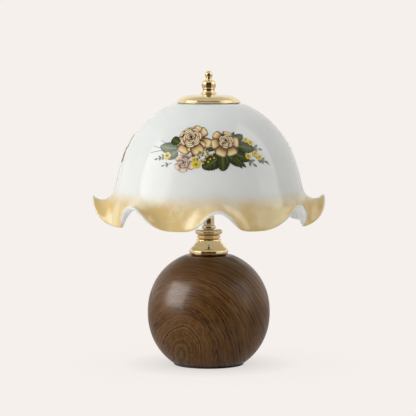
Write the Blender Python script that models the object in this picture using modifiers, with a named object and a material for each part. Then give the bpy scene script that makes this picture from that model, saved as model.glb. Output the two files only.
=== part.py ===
"""Table lamp: a walnut ball with a turned brass neck, a harp and a crimped opal glass shade.

Lengths are in metres, +Z is up and the front faces -Y. The origin is the centre of the felt foot.
"""

import math

import bmesh
import bpy
from mathutils import Vector

# Clearances shared by all pieces
GAP = 0.0003
RUNNING_GAP = 0.0003
CUT_OVERRUN = 0.002
EDGE_EASE = 0.0004
MERGE_DISTANCE = 0.00001

# Upright tube that carries everything
TUBE_RADIUS = 0.005
TUBE_WALL = 0.0014
TUBE_BELOW_NUT = 0.003

# Walnut ball
BALL_RADIUS = 0.0653
BALL_SQUARENESS = 2.1
BALL_FOOT_SHARE = 0.5873
BALL_CROWN_SHARE = 0.3954
RECESS_SHARE = 0.4594
RECESS_DEPTH_SHARE = 0.3507

# Felt pad under the ball
FELT_INSET = 0.001
FELT_THICKNESS = 0.0018

# Weight, washer and nut inside the ball
WEIGHT_SHARE = 0.336
WASHER_RADIUS = 0.011
WASHER_THICKNESS = 0.0013
NUT_ACROSS_CORNERS = 0.0196
NUT_THICKNESS = 0.005

# Gland for the cord at the back of the ball
BUSH_LEVEL = 0.013
BUSH_SLEEVE_RADIUS = 0.0044
BUSH_BORE_RADIUS = 0.0032
BUSH_COLLAR_RADIUS = 0.0058
BUSH_COLLAR_THICKNESS = 0.002
BUSH_SEAT_DEPTH = 0.0065

# Turned neck, from the ball upwards
NECK_WASHER_RADIUS = 0.0185
NECK_WASHER_THICKNESS = 0.0006
NECK_BASE_RADIUS = 0.0208
NECK_BASE_HEIGHT = 0.0164
NECK_BASE_SHARES = [
    (0.606, 1.0), (0.635, 0.89), (0.688, 0.75), (0.76, 0.62), (0.841, 0.49), (0.95, 0.36),
    (0.985, 0.285), (1.0, 0.19), (0.985, 0.08), (0.93, 0.0),
]
NECK_COLLAR_RADIUS = 0.0125
NECK_COLLAR_HEIGHT = 0.0043
REED_POINTS = 6
REED_GROOVE_SHARE = 0.89
REED_ROUNDNESS = 0.7
NECK_FLANGE_RADIUS = 0.0144
NECK_FLANGE_HEIGHT = 0.0055
NECK_FLANGE_SHARES = [
    (0.72, 1.0), (0.88, 0.95), (0.97, 0.80), (1.0, 0.58), (1.0, 0.36), (0.96, 0.13), (0.87, 0.0),
]
TUBE_COLLAR_RADIUS = 0.0073
TUBE_COLLAR_HEIGHT = 0.0041
TUBE_SLEEVE_RADIUS = 0.00585
TUBE_SLEEVE_HEIGHT = 0.012

# Harp with its saddle and ferrules
SADDLE_THICKNESS = 0.0015
SADDLE_WIDTH = 0.014
SADDLE_REACH = 0.020
SADDLE_END = 0.00285
SADDLE_STUD_HEIGHT = 0.0128
WIRE_RADIUS = 0.0019
HARP_LEG_HEIGHT = 0.024
HARP_RISE = 0.0681
HARP_HALF_WIDTH = 0.033
HARP_LOOP_SHARES = [
    (0.82, 0.17), (0.96, 0.36), (1.0, 0.56), (0.91, 0.77), (0.63, 0.94), (0.24, 1.0),
]
HARP_POINTS_PER_SPAN = 2
FERRULE_WALL = 0.001
FERRULE_LENGTH = 0.014
FERRULE_DROP_SHARE = 0.55
STUD_FOOT_RADIUS = 0.006
STUD_FOOT_HEIGHT = 0.003
STUD_RADIUS = 0.0032
STUD_GRIP = 0.0085

# Lampholder
HOLDER_RADIUS = 0.0148
HOLDER_WALL = 0.0009
HOLDER_CAP_HEIGHT = 0.0133
HOLDER_HUB_RADIUS = 0.0075
HOLDER_HUB_HEIGHT = 0.0055
HOLDER_CUP_SHARES = [(1.0, 1.0), (1.0, 0.62), (0.84, 0.36), (0.507, 0.19)]
HOLDER_INSIDE_SHARES = [(0.88, 0.414), (1.0, 0.66), (1.0, 1.0)]
HOLDER_SHELL_HEIGHT = 0.030
CORE_HEIGHT = 0.0275
CORE_FLOOR = 0.0122
SCREW_SHELL_RADIUS = 0.0083
SCREW_SHELL_WALL = 0.0007
CONTACT_RADIUS = 0.0025
CONTACT_THICKNESS = 0.0012
KNOB_LEVEL_SHARE = 0.24
KNOB_SHAFT_RADIUS = 0.0016
KNOB_SHAFT_INSERT = 0.009
KNOB_NECK_LENGTH = 0.0055
KNOB_RADIUS = 0.005
KNOB_LENGTH = 0.0125
KNOB_SHARES = [
    (0.86, 1.0), (1.0, 0.93), (0.88, 0.62), (0.80, 0.45), (0.90, 0.20), (0.78, 0.0),
]

# Bulb
BULB_CAP_RADIUS = 0.00695
BULB_CAP_WALL = 0.0005
BULB_CAP_HEIGHT = 0.0195
BULB_SKIRT_RADIUS = 0.0086
BULB_SKIRT_HEIGHT = 0.004
BULB_TIP_RADIUS = 0.0036
BULB_TIP_HEIGHT = 0.0016
BULB_RADIUS = 0.0225
BULB_NECK_HEIGHT = 0.0145
BULB_WALL = 0.0009
BULB_ROWS = 9
BULB_SEAT_SHARE = 0.5
BULB_NECK_SHARE = 0.3
BULB_SWEEP = math.radians(142)
BULB_TIP_SHARES = [(0.9, 1.0), (1.0, 0.5), (0.5, 0.0)]
STEM_RADIUS = 0.0018
STEM_HEIGHT = 0.0245
STEM_FLARE_HEIGHT = 0.0055
STEM_RIM_SHARE = 0.33
FILAMENT_RADIUS = 0.00035
FILAMENT_HEIGHT = 0.026
FILAMENT_REACH = 0.009
FILAMENT_FOOT_SHARE = 0.78
FILAMENT_SHARES = [
    (0.32, 0.0), (0.55, 0.45), (1.0, 0.93), (0.62, 1.0), (0.30, 0.93), (0.0, 1.0),
]

# Seat of the shade on top of the harp
REST_RADIUS = 0.026
REST_THICKNESS = 0.0012
SEAT_WASHER_RADIUS = 0.014
SEAT_WASHER_THICKNESS = 0.0012
SHADE_BUSH_RADIUS = 0.012
SHADE_BUSH_THICKNESS = 0.0012
SHADE_BUSH_WALL = 0.0022

# Glass shade
GLASS_THICKNESS = 0.0032
DOME_RADIUS = 0.0988
DOME_HEIGHT = 0.0857
DOME_SHARES = [
    (0.243, 0.0), (0.344, 0.014), (0.405, 0.032), (0.525, 0.104), (0.665, 0.228), (0.784, 0.380),
    (0.878, 0.560), (0.950, 0.770), (1.0, 1.0),
]
SHADE_STEPS = 112
CREST_COUNT = 8
SHADE_TURN = math.radians(4.5)
LOBE_LENGTH = 0.0440
CREST_LENGTH = 0.0362
SKIRT_ROWS = 8
SKIRT_SUBSTEPS = 6
SKIRT_START_ANGLE = 10.0
LOBE_END_ANGLE = 16.0
CREST_END_ANGLE = 153.0
CREST_CURL_POWER = 1.6
CREST_WIDTH_POWER = 1.9
CREST_LIFT_POWER = 0.9
FRONT_EASE_SHARE = 0.272
FRONT_EASE_POWER = 1.5

# Brass cap, washer and finial
CAP_RADIUS = 0.0339
CAP_HEIGHT = 0.0090
CAP_WALL = 0.001
CAP_SHARES = [
    (0.36, 1.0), (0.52, 0.96), (0.67, 0.84), (0.80, 0.65), (0.90, 0.43), (0.96, 0.24), (0.995, 0.08),
    (1.0, 0.03), (0.985, 0.0),
]
CAP_SEAT_SHARE = 0.97
FINIAL_WASHER_RADIUS = 0.0084
FINIAL_WASHER_THICKNESS = 0.0018
FINIAL_RADIUS = 0.0076
FINIAL_HEIGHT = 0.0224
FINIAL_SHARES = [
    (0.16, 0.995), (0.33, 0.965), (0.48, 0.91), (0.54, 0.83), (0.50, 0.745), (0.41, 0.68),
    (0.395, 0.645), (0.44, 0.59), (0.72, 0.54), (0.91, 0.49), (1.0, 0.37), (0.96, 0.25), (0.95, 0.205),
    (0.86, 0.17), (0.83, 0.08), (0.92, 0.0),
]

# Roundness of the turned pieces
BALL_STEPS = 40
BALL_ROWS = 15
NECK_STEPS = 28
HIDDEN_STEPS = 20
SMALL_STEPS = 16
WIRE_BEVEL_STEPS = 2

# Fits and heights of the stack, worked out from the sizes above
BORE_RADIUS = TUBE_RADIUS + GAP
BALL_FOOT_RADIUS = BALL_FOOT_SHARE * BALL_RADIUS
BALL_CROWN_RADIUS = BALL_CROWN_SHARE * BALL_RADIUS
RECESS_RADIUS = RECESS_SHARE * BALL_RADIUS
RECESS_DEPTH = RECESS_DEPTH_SHARE * BALL_RADIUS
FELT_RADIUS = BALL_FOOT_RADIUS - FELT_INSET
WEIGHT_THICKNESS = WEIGHT_SHARE * RECESS_DEPTH
BALL_FOOT_LEVEL = FELT_THICKNESS + GAP
BALL_LEVEL = BALL_FOOT_LEVEL + BALL_RADIUS * (1 - BALL_FOOT_SHARE ** BALL_SQUARENESS) ** (1 / BALL_SQUARENESS)
BALL_TOP_LEVEL = BALL_LEVEL + BALL_RADIUS * (1 - BALL_CROWN_SHARE ** BALL_SQUARENESS) ** (1 / BALL_SQUARENESS)
RECESS_TOP_LEVEL = BALL_FOOT_LEVEL + RECESS_DEPTH
WEIGHT_LEVEL = RECESS_TOP_LEVEL - GAP - WEIGHT_THICKNESS
WASHER_LEVEL = WEIGHT_LEVEL - GAP - WASHER_THICKNESS
NUT_LEVEL = WASHER_LEVEL - GAP - NUT_THICKNESS
TUBE_LEVEL = NUT_LEVEL - TUBE_BELOW_NUT
NECK_WASHER_LEVEL = BALL_TOP_LEVEL + GAP
NECK_BASE_LEVEL = NECK_WASHER_LEVEL + NECK_WASHER_THICKNESS + GAP
NECK_COLLAR_LEVEL = NECK_BASE_LEVEL + NECK_BASE_HEIGHT + GAP
NECK_FLANGE_LEVEL = NECK_COLLAR_LEVEL + NECK_COLLAR_HEIGHT + GAP
TUBE_COLLAR_LEVEL = NECK_FLANGE_LEVEL + NECK_FLANGE_HEIGHT + GAP
TUBE_SLEEVE_LEVEL = TUBE_COLLAR_LEVEL + TUBE_COLLAR_HEIGHT + GAP
SADDLE_LEVEL = TUBE_SLEEVE_LEVEL + TUBE_SLEEVE_HEIGHT + GAP
HOLDER_LEVEL = SADDLE_LEVEL + SADDLE_THICKNESS + GAP
TUBE_TOP_LEVEL = HOLDER_LEVEL + HOLDER_HUB_HEIGHT
SHELL_LEVEL = HOLDER_LEVEL + HOLDER_CAP_HEIGHT + GAP
KNOB_LEVEL = SHELL_LEVEL + KNOB_LEVEL_SHARE * HOLDER_SHELL_HEIGHT
CORE_FLOOR_LEVEL = SHELL_LEVEL + CORE_FLOOR
CONTACT_LEVEL = CORE_FLOOR_LEVEL + GAP
BULB_TIP_LEVEL = CONTACT_LEVEL + CONTACT_THICKNESS + GAP
BULB_CAP_LEVEL = BULB_TIP_LEVEL + BULB_TIP_HEIGHT + GAP
BULB_CAP_TOP_LEVEL = BULB_CAP_LEVEL + BULB_CAP_HEIGHT
BULB_GLASS_LEVEL = BULB_CAP_TOP_LEVEL - BULB_SKIRT_HEIGHT + GAP
SADDLE_STUD_TOP_LEVEL = SADDLE_LEVEL + SADDLE_THICKNESS + SADDLE_STUD_HEIGHT
HARP_LEVEL = SADDLE_STUD_TOP_LEVEL + GAP
HARP_TOP_LEVEL = HARP_LEVEL + HARP_LEG_HEIGHT + HARP_RISE
STUD_LEVEL = HARP_TOP_LEVEL + WIRE_RADIUS + GAP
REST_LEVEL = STUD_LEVEL + STUD_FOOT_HEIGHT + GAP
SEAT_WASHER_LEVEL = REST_LEVEL + REST_THICKNESS + GAP
GLASS_SEAT_LEVEL = SEAT_WASHER_LEVEL + SEAT_WASHER_THICKNESS + GAP
GLASS_TOP_LEVEL = GLASS_SEAT_LEVEL + GLASS_THICKNESS
STUD_BORE_RADIUS = STUD_RADIUS + RUNNING_GAP
SHADE_BUSH_SLEEVE_RADIUS = STUD_BORE_RADIUS + SHADE_BUSH_WALL
GLASS_HOLE_RADIUS = SHADE_BUSH_SLEEVE_RADIUS + GAP


def clear_scene():
    for item in list(bpy.data.objects):
        bpy.data.objects.remove(item, do_unlink=True)


def new_collection(name):
    collection = bpy.data.collections.new(name)
    bpy.context.scene.collection.children.link(collection)
    return collection


def make_material(name, colour, roughness, metallic=0.0):
    material = bpy.data.materials.new(name)
    material.use_nodes = True
    material.diffuse_color = (*colour, 1.0)
    shader = material.node_tree.nodes["Principled BSDF"]
    shader.inputs["Base Color"].default_value = (*colour, 1.0)
    shader.inputs["Roughness"].default_value = roughness
    shader.inputs["Metallic"].default_value = metallic
    return material


def add_part(name, data, material, place=(0, 0, 0), turn=(0, 0, 0), parent=None):
    """Link a mesh or curve as one named sub-part."""
    part = bpy.data.objects.new(name, data)
    part.location = place
    part.rotation_euler = turn
    part.parent = parent
    data.materials.append(material)
    PARTS.objects.link(part)
    return part


def add_empty(name, place, turn=(0, 0, 0)):
    empty = bpy.data.objects.new(name, None)
    empty.location = place
    empty.rotation_euler = turn
    empty.empty_display_size = BALL_RADIUS
    PARTS.objects.link(empty)
    return empty


def scaled(shares, radius, height):
    """Turn a table of radius and height shares into real profile points."""
    return [(radius * r_share, height * z_share) for r_share, z_share in shares]


def eased(points, ease, closed):
    """Cut each sharp corner of a profile back by a small flat."""
    count = len(points)
    result = []
    for index, point in enumerate(points):
        if not closed and index in (0, count - 1):
            result.append(point)
            continue
        here = Vector(point)
        before = Vector(points[index - 1]) - here
        after = Vector(points[(index + 1) % count]) - here
        if before.angle(after) > math.radians(120):
            result.append(point)
            continue
        for side in (before, after):
            cut = min(ease, side.length / 3)
            result.append(tuple(here + side.normalized() * cut))
    return result


def turned_mesh(name, points, closed):
    mesh = bpy.data.meshes.new(name)
    bm = bmesh.new()
    verts = [bm.verts.new((radius, 0, height)) for radius, height in points]
    for first, second in zip(verts, verts[1:]):
        bm.edges.new((first, second))
    if closed:
        bm.edges.new((verts[-1], verts[0]))
    bm.to_mesh(mesh)
    bm.free()
    return mesh


def add_screw(part, steps):
    """Sweep the profile once round the upright axis."""
    screw = part.modifiers.new("Turn", "SCREW")
    screw.axis = "Z"
    screw.angle = math.tau
    screw.steps = steps
    screw.render_steps = steps
    screw.use_merge_vertices = True
    screw.merge_threshold = MERGE_DISTANCE
    screw.use_smooth_shade = True
    return screw


def turned_solid(name, outline, material, level=0.0, steps=SMALL_STEPS, ease=EDGE_EASE, **placing):
    """A turned piece that is solid to its axis. The outline runs down its outer side."""
    top = outline[0][1]
    bottom = outline[-1][1]
    points = [(0, top)] + list(outline) + [(0, bottom)]
    mesh = turned_mesh(name, eased(points, ease, False), False)
    placing.setdefault("place", (0, 0, level))
    part = add_part(name, mesh, material, **placing)
    add_screw(part, steps)
    return part


def turned_ring(name, outline, bore, material, level=0.0, steps=SMALL_STEPS, ease=EDGE_EASE, **placing):
    """A turned piece with a straight bore through it."""
    top = outline[0][1]
    bottom = outline[-1][1]
    points = list(outline) + [(bore, bottom), (bore, top)]
    mesh = turned_mesh(name, eased(points, min(ease, (outline[0][0] - bore) / 3), True), True)
    placing.setdefault("place", (0, 0, level))
    part = add_part(name, mesh, material, **placing)
    add_screw(part, steps)
    return part


def turned_loop(name, points, material, level=0.0, steps=SMALL_STEPS):
    """A turned shell given by its whole closed section."""
    part = add_part(name, turned_mesh(name, points, True), material, place=(0, 0, level))
    add_screw(part, steps)
    return part


def disc_outline(radius, height):
    return [(radius, height), (radius, 0)]


def add_cutter(name, radius, length, place, turn=(0, 0, 0), segments=SMALL_STEPS):
    """A closed cylinder that starts at its origin and runs along its own +Z."""
    mesh = bpy.data.meshes.new(name)
    bm = bmesh.new()
    bmesh.ops.create_cone(bm, cap_ends=True, segments=segments, radius1=radius, radius2=radius, depth=length)
    bmesh.ops.translate(bm, verts=bm.verts, vec=(0, 0, length / 2))
    bm.to_mesh(mesh)
    bm.free()
    cutter = bpy.data.objects.new(name, mesh)
    cutter.location = place
    cutter.rotation_euler = turn
    cutter.hide_render = True
    cutter.display_type = "WIRE"
    CUTTERS.objects.link(cutter)
    return cutter


def add_boolean(part, tool, operation="DIFFERENCE"):
    modifier = part.modifiers.new(tool.name, "BOOLEAN")
    modifier.operation = operation
    modifier.solver = "EXACT"
    modifier.object = tool


def smooth_path(points, steps):
    """Points along a smooth curve through the given ones."""
    ends = [points[0] * 2 - points[1], points[-1] * 2 - points[-2]]
    guide = [ends[0]] + points + [ends[1]]
    path = []
    for index in range(1, len(guide) - 2):
        p0, p1, p2, p3 = guide[index - 1:index + 3]
        for step in range(steps):
            t = step / steps
            part_a = p1 * 2 + (p2 - p0) * t
            part_b = (p0 * 2 - p1 * 5 + p2 * 4 - p3) * t ** 2
            part_c = (p1 * 3 - p0 - p2 * 3 + p3) * t ** 3
            path.append((part_a + part_b + part_c) / 2)
    path.append(points[-1])
    return path


def add_wire(name, points, radius, material, place, bevel=WIRE_BEVEL_STEPS):
    curve = bpy.data.curves.new(name, "CURVE")
    curve.dimensions = "3D"
    curve.bevel_depth = radius
    curve.bevel_resolution = bevel
    curve.use_fill_caps = True
    spline = curve.splines.new("POLY")
    spline.points.add(len(points) - 1)
    for target, point in zip(spline.points, points):
        target.co = (*point, 1)
        target.radius = 1
    spline.use_smooth = True
    return add_part(name, curve, material, place=place)


def build_ball(wood):
    """Ball with its two flats, the recess for the weight, the bore and the hole for the cord."""
    power = BALL_SQUARENESS / 2
    low = -math.acos(BALL_FOOT_SHARE ** power)
    high = math.acos(BALL_CROWN_SHARE ** power)
    points = []
    for row in range(BALL_ROWS + 1):
        angle = high + (low - high) * row / BALL_ROWS
        across = math.cos(angle) ** (1 / power)
        up = math.copysign(abs(math.sin(angle)) ** (1 / power), angle)
        points.append((BALL_RADIUS * across, BALL_RADIUS * up))
    foot = BALL_FOOT_LEVEL - BALL_LEVEL
    ceiling = RECESS_TOP_LEVEL - BALL_LEVEL
    points += [(RECESS_RADIUS, foot), (RECESS_RADIUS, ceiling), (BORE_RADIUS, ceiling)]
    points.append((BORE_RADIUS, BALL_TOP_LEVEL - BALL_LEVEL))
    ball = turned_loop("wood_ball", points, wood, level=BALL_LEVEL, steps=BALL_STEPS)
    towards_back = (-math.pi / 2, 0, 0)
    start = RECESS_RADIUS - CUT_OVERRUN
    hole_length = BALL_RADIUS + CUT_OVERRUN - start
    hole_radius = BUSH_SLEEVE_RADIUS + GAP
    hole = add_cutter("cord_hole", hole_radius, hole_length, (0, start, BUSH_LEVEL), towards_back)
    add_boolean(ball, hole)
    seat = bush_seat()
    seat_radius = BUSH_COLLAR_RADIUS + GAP
    seat_length = BALL_RADIUS + CUT_OVERRUN - seat
    pocket = add_cutter("bush_pocket", seat_radius, seat_length, (0, seat, BUSH_LEVEL), towards_back)
    add_boolean(ball, pocket)


def bush_seat():
    """Distance from the lamp's axis to the face that the gland's collar seats on."""
    drop = (BALL_LEVEL - BUSH_LEVEL) / BALL_RADIUS
    wall = BALL_RADIUS * (1 - drop ** BALL_SQUARENESS) ** (1 / BALL_SQUARENESS)
    return wall - BUSH_SEAT_DEPTH


def build_base(wood, felt, iron, steel, black):
    turned_solid("felt_pad", disc_outline(FELT_RADIUS, FELT_THICKNESS), felt, steps=NECK_STEPS)
    build_ball(wood)
    weight_radius = RECESS_RADIUS - GAP
    weight = disc_outline(weight_radius, WEIGHT_THICKNESS)
    turned_ring("base_weight", weight, BORE_RADIUS, iron, level=WEIGHT_LEVEL, steps=BALL_STEPS, ease=0)
    washer = disc_outline(WASHER_RADIUS, WASHER_THICKNESS)
    turned_ring("bottom_washer", washer, BORE_RADIUS, steel, level=WASHER_LEVEL, ease=0)
    build_locknut(steel)
    tube_length = TUBE_TOP_LEVEL - TUBE_LEVEL
    tube = disc_outline(TUBE_RADIUS, tube_length)
    turned_ring("threaded_tube", tube, TUBE_RADIUS - TUBE_WALL, steel, level=TUBE_LEVEL, ease=0)
    build_cord_bush(black)


def build_locknut(steel):
    """Hexagon nut with its bore."""
    mesh = bpy.data.meshes.new("bottom_locknut")
    bm = bmesh.new()
    corner = NUT_ACROSS_CORNERS / 2
    bmesh.ops.create_cone(bm, cap_ends=True, segments=6, radius1=corner, radius2=corner, depth=NUT_THICKNESS)
    bmesh.ops.translate(bm, verts=bm.verts, vec=(0, 0, NUT_THICKNESS / 2))
    bm.to_mesh(mesh)
    bm.free()
    nut = add_part("bottom_locknut", mesh, steel, place=(0, 0, NUT_LEVEL))
    bore_length = NUT_THICKNESS + 2 * CUT_OVERRUN
    bore = add_cutter("nut_bore", BORE_RADIUS, bore_length, (0, 0, NUT_LEVEL - CUT_OVERRUN))
    add_boolean(nut, bore)


def build_cord_bush(black):
    """Gland with a collar in its pocket and a sleeve through the wall of the ball."""
    seat = bush_seat() + GAP
    sleeve = seat - RECESS_RADIUS
    outline = [
        (BUSH_COLLAR_RADIUS, sleeve + BUSH_COLLAR_THICKNESS),
        (BUSH_COLLAR_RADIUS, sleeve),
        (BUSH_SLEEVE_RADIUS, sleeve),
        (BUSH_SLEEVE_RADIUS, 0),
    ]
    place = (0, RECESS_RADIUS, BUSH_LEVEL)
    turn = (-math.pi / 2, 0, 0)
    turned_ring("cord_bush", outline, BUSH_BORE_RADIUS, black, place=place, turn=turn, ease=0)


def reeded_outline():
    """One round reed, from its top down."""
    depth = NECK_COLLAR_RADIUS * (1 - REED_GROOVE_SHARE)
    points = []
    for step in range(REED_POINTS + 1):
        share = step / REED_POINTS
        bulge = math.sin(math.pi * share) ** REED_ROUNDNESS
        points.append((NECK_COLLAR_RADIUS - depth * (1 - bulge), NECK_COLLAR_HEIGHT * (1 - share)))
    return points


def build_neck(brass, black):
    """Everything turned that is threaded on the tube between the ball and the harp."""
    washer = disc_outline(NECK_WASHER_RADIUS, NECK_WASHER_THICKNESS)
    turned_ring("neck_washer", washer, BORE_RADIUS, black, level=NECK_WASHER_LEVEL, steps=NECK_STEPS)
    bell = scaled(NECK_BASE_SHARES, NECK_BASE_RADIUS, NECK_BASE_HEIGHT)
    turned_ring("neck_base", bell, BORE_RADIUS, brass, level=NECK_BASE_LEVEL, steps=NECK_STEPS, ease=0)
    turned_ring("neck_collar", reeded_outline(), BORE_RADIUS, brass, level=NECK_COLLAR_LEVEL,
                steps=NECK_STEPS, ease=0)
    flange = scaled(NECK_FLANGE_SHARES, NECK_FLANGE_RADIUS, NECK_FLANGE_HEIGHT)
    turned_ring("neck_flange", flange, BORE_RADIUS, brass, level=NECK_FLANGE_LEVEL, steps=NECK_STEPS, ease=0)
    ring = disc_outline(TUBE_COLLAR_RADIUS, TUBE_COLLAR_HEIGHT)
    turned_ring("tube_collar", ring, BORE_RADIUS, brass, level=TUBE_COLLAR_LEVEL, steps=NECK_STEPS)
    sleeve = disc_outline(TUBE_SLEEVE_RADIUS, TUBE_SLEEVE_HEIGHT)
    turned_ring("tube_sleeve", sleeve, BORE_RADIUS, brass, level=TUBE_SLEEVE_LEVEL, steps=NECK_STEPS, ease=0)


def build_saddle(brass):
    """Flat strip clamped under the lampholder, with an upright stud at each end."""
    mesh = bpy.data.meshes.new("harp_saddle")
    bm = bmesh.new()
    bmesh.ops.create_cube(bm, size=1)
    size = (2 * (SADDLE_REACH + SADDLE_END), SADDLE_WIDTH, SADDLE_THICKNESS)
    bmesh.ops.scale(bm, verts=bm.verts, vec=size)
    bmesh.ops.translate(bm, verts=bm.verts, vec=(0, 0, SADDLE_THICKNESS / 2))
    upright = [edge for edge in bm.edges if edge.verts[0].co.xy == edge.verts[1].co.xy]
    bmesh.ops.bevel(bm, geom=upright, offset=SADDLE_WIDTH / 3, segments=3, profile=0.5, affect="EDGES")
    bm.to_mesh(mesh)
    bm.free()
    saddle = add_part("harp_saddle", mesh, brass, place=(0, 0, SADDLE_LEVEL))
    root = SADDLE_THICKNESS / 2
    for side, word in ((-1, "left"), (1, "right")):
        place = (side * SADDLE_REACH, 0, SADDLE_LEVEL + root)
        stud = add_cutter("saddle_stud_" + word, WIRE_RADIUS, SADDLE_STUD_HEIGHT + root, place, segments=12)
        add_boolean(saddle, stud, "UNION")
    bore_length = SADDLE_THICKNESS + 2 * CUT_OVERRUN
    bore = add_cutter("saddle_bore", BORE_RADIUS, bore_length, (0, 0, SADDLE_LEVEL - CUT_OVERRUN))
    add_boolean(saddle, bore)


def harp_points():
    """Route of the wire, from the left foot over the top to the right foot."""
    right = [Vector((SADDLE_REACH, 0, HARP_LEG_HEIGHT * step / 3)) for step in range(4)]
    for width_share, rise_share in HARP_LOOP_SHARES:
        right.append(Vector((HARP_HALF_WIDTH * width_share, 0, HARP_LEG_HEIGHT + HARP_RISE * rise_share)))
    left = [Vector((-point.x, 0, point.z)) for point in right]
    top = Vector((0, 0, HARP_LEG_HEIGHT + HARP_RISE))
    return smooth_path(left + [top] + right[::-1], HARP_POINTS_PER_SPAN)


def build_harp(brass, steel):
    build_saddle(brass)
    add_wire("harp", harp_points(), WIRE_RADIUS, brass, (0, 0, HARP_LEVEL))
    bore = WIRE_RADIUS + RUNNING_GAP
    ferrule = disc_outline(bore + FERRULE_WALL, FERRULE_LENGTH)
    level = HARP_LEVEL - FERRULE_DROP_SHARE * FERRULE_LENGTH
    for side, word in ((-1, "left"), (1, "right")):
        place = (side * SADDLE_REACH, 0, level)
        turned_ring("harp_ferrule_" + word, ferrule, bore, brass, place=place, ease=0)
    stud_height = finial_level() + STUD_GRIP - STUD_LEVEL
    stud = [
        (STUD_RADIUS, stud_height),
        (STUD_RADIUS, STUD_FOOT_HEIGHT),
        (STUD_FOOT_RADIUS, STUD_FOOT_HEIGHT),
        (STUD_FOOT_RADIUS, 0),
    ]
    turned_solid("harp_stud", stud, steel, level=STUD_LEVEL, ease=0)


def build_lampholder(brass, moulded, copper):
    """Cup, shell and moulded core with its screw shell and centre contact."""
    inner = HOLDER_RADIUS - HOLDER_WALL
    cup = scaled(HOLDER_CUP_SHARES, HOLDER_RADIUS, HOLDER_CAP_HEIGHT)
    cup += [(HOLDER_HUB_RADIUS, 0), (BORE_RADIUS, 0), (BORE_RADIUS, HOLDER_HUB_HEIGHT)]
    cup += scaled(HOLDER_INSIDE_SHARES, inner, HOLDER_CAP_HEIGHT)
    turned_loop("lampholder_cap", cup, brass, level=HOLDER_LEVEL, steps=HIDDEN_STEPS)
    shell = disc_outline(HOLDER_RADIUS, HOLDER_SHELL_HEIGHT)
    case = turned_ring("lampholder_shell", shell, inner, brass, level=SHELL_LEVEL, steps=HIDDEN_STEPS)
    cup_radius = SCREW_SHELL_RADIUS + GAP
    core_radius = inner - GAP
    core = [
        (core_radius, CORE_HEIGHT),
        (core_radius, 0),
        (0, 0),
        (0, CORE_FLOOR),
        (cup_radius, CORE_FLOOR),
        (cup_radius, CORE_HEIGHT),
    ]
    mesh = turned_mesh("lampholder_core", core[3:] + core[:3], False)
    body = add_part("lampholder_core", mesh, moulded, place=(0, 0, SHELL_LEVEL))
    add_screw(body, HIDDEN_STEPS)
    towards_front = (math.pi / 2, 0, 0)
    hole_length = HOLDER_RADIUS + CUT_OVERRUN - (core_radius - KNOB_SHAFT_INSERT)
    start = (0, KNOB_SHAFT_INSERT - core_radius, KNOB_LEVEL)
    hole_radius = KNOB_SHAFT_RADIUS + RUNNING_GAP
    hole = add_cutter("knob_hole", hole_radius, hole_length, start, towards_front)
    add_boolean(case, hole)
    add_boolean(body, hole)
    thread_height = CORE_HEIGHT - CORE_FLOOR - GAP
    thread = disc_outline(SCREW_SHELL_RADIUS, thread_height)
    thread_bore = SCREW_SHELL_RADIUS - SCREW_SHELL_WALL
    turned_ring("screw_shell", thread, thread_bore, copper, level=CONTACT_LEVEL, steps=HIDDEN_STEPS, ease=0)
    contact = disc_outline(CONTACT_RADIUS, CONTACT_THICKNESS)
    turned_solid("centre_contact", contact, copper, level=CONTACT_LEVEL, ease=0)


def build_switch_knob(black):
    """Knob on its shaft, turning about a level axis towards the front."""
    shaft_length = KNOB_SHAFT_INSERT - GAP + HOLDER_WALL + GAP + KNOB_NECK_LENGTH
    outline = [
        (radius, shaft_length + height) for radius, height in scaled(KNOB_SHARES, KNOB_RADIUS, KNOB_LENGTH)
    ]
    outline += [(KNOB_SHAFT_RADIUS, shaft_length), (KNOB_SHAFT_RADIUS, 0)]
    core_radius = HOLDER_RADIUS - HOLDER_WALL - GAP
    place = (0, KNOB_SHAFT_INSERT - GAP - core_radius, KNOB_LEVEL)
    turn = (math.pi / 2, 0, 0)
    turned_solid("switch_knob", outline, black, place=place, turn=turn, ease=EDGE_EASE)


def bulb_outline(radius, neck_radius):
    """Half section of the bulb, from its top down to the mouth of its neck."""
    centre = BULB_NECK_HEIGHT + BULB_RADIUS * math.sqrt(1 - BULB_SEAT_SHARE ** 2)
    points = []
    for row in range(BULB_ROWS + 1):
        angle = math.pi / 2 - BULB_SWEEP * row / BULB_ROWS
        points.append((radius * math.cos(angle), centre + radius * math.sin(angle)))
    last = points[-1]
    neck_top = BULB_NECK_HEIGHT * BULB_NECK_SHARE
    points.append(((last[0] + neck_radius * 2) / 3, (last[1] * 2 + neck_top) / 3))
    points.append((neck_radius, neck_top))
    points.append((neck_radius, 0))
    return points


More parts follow.
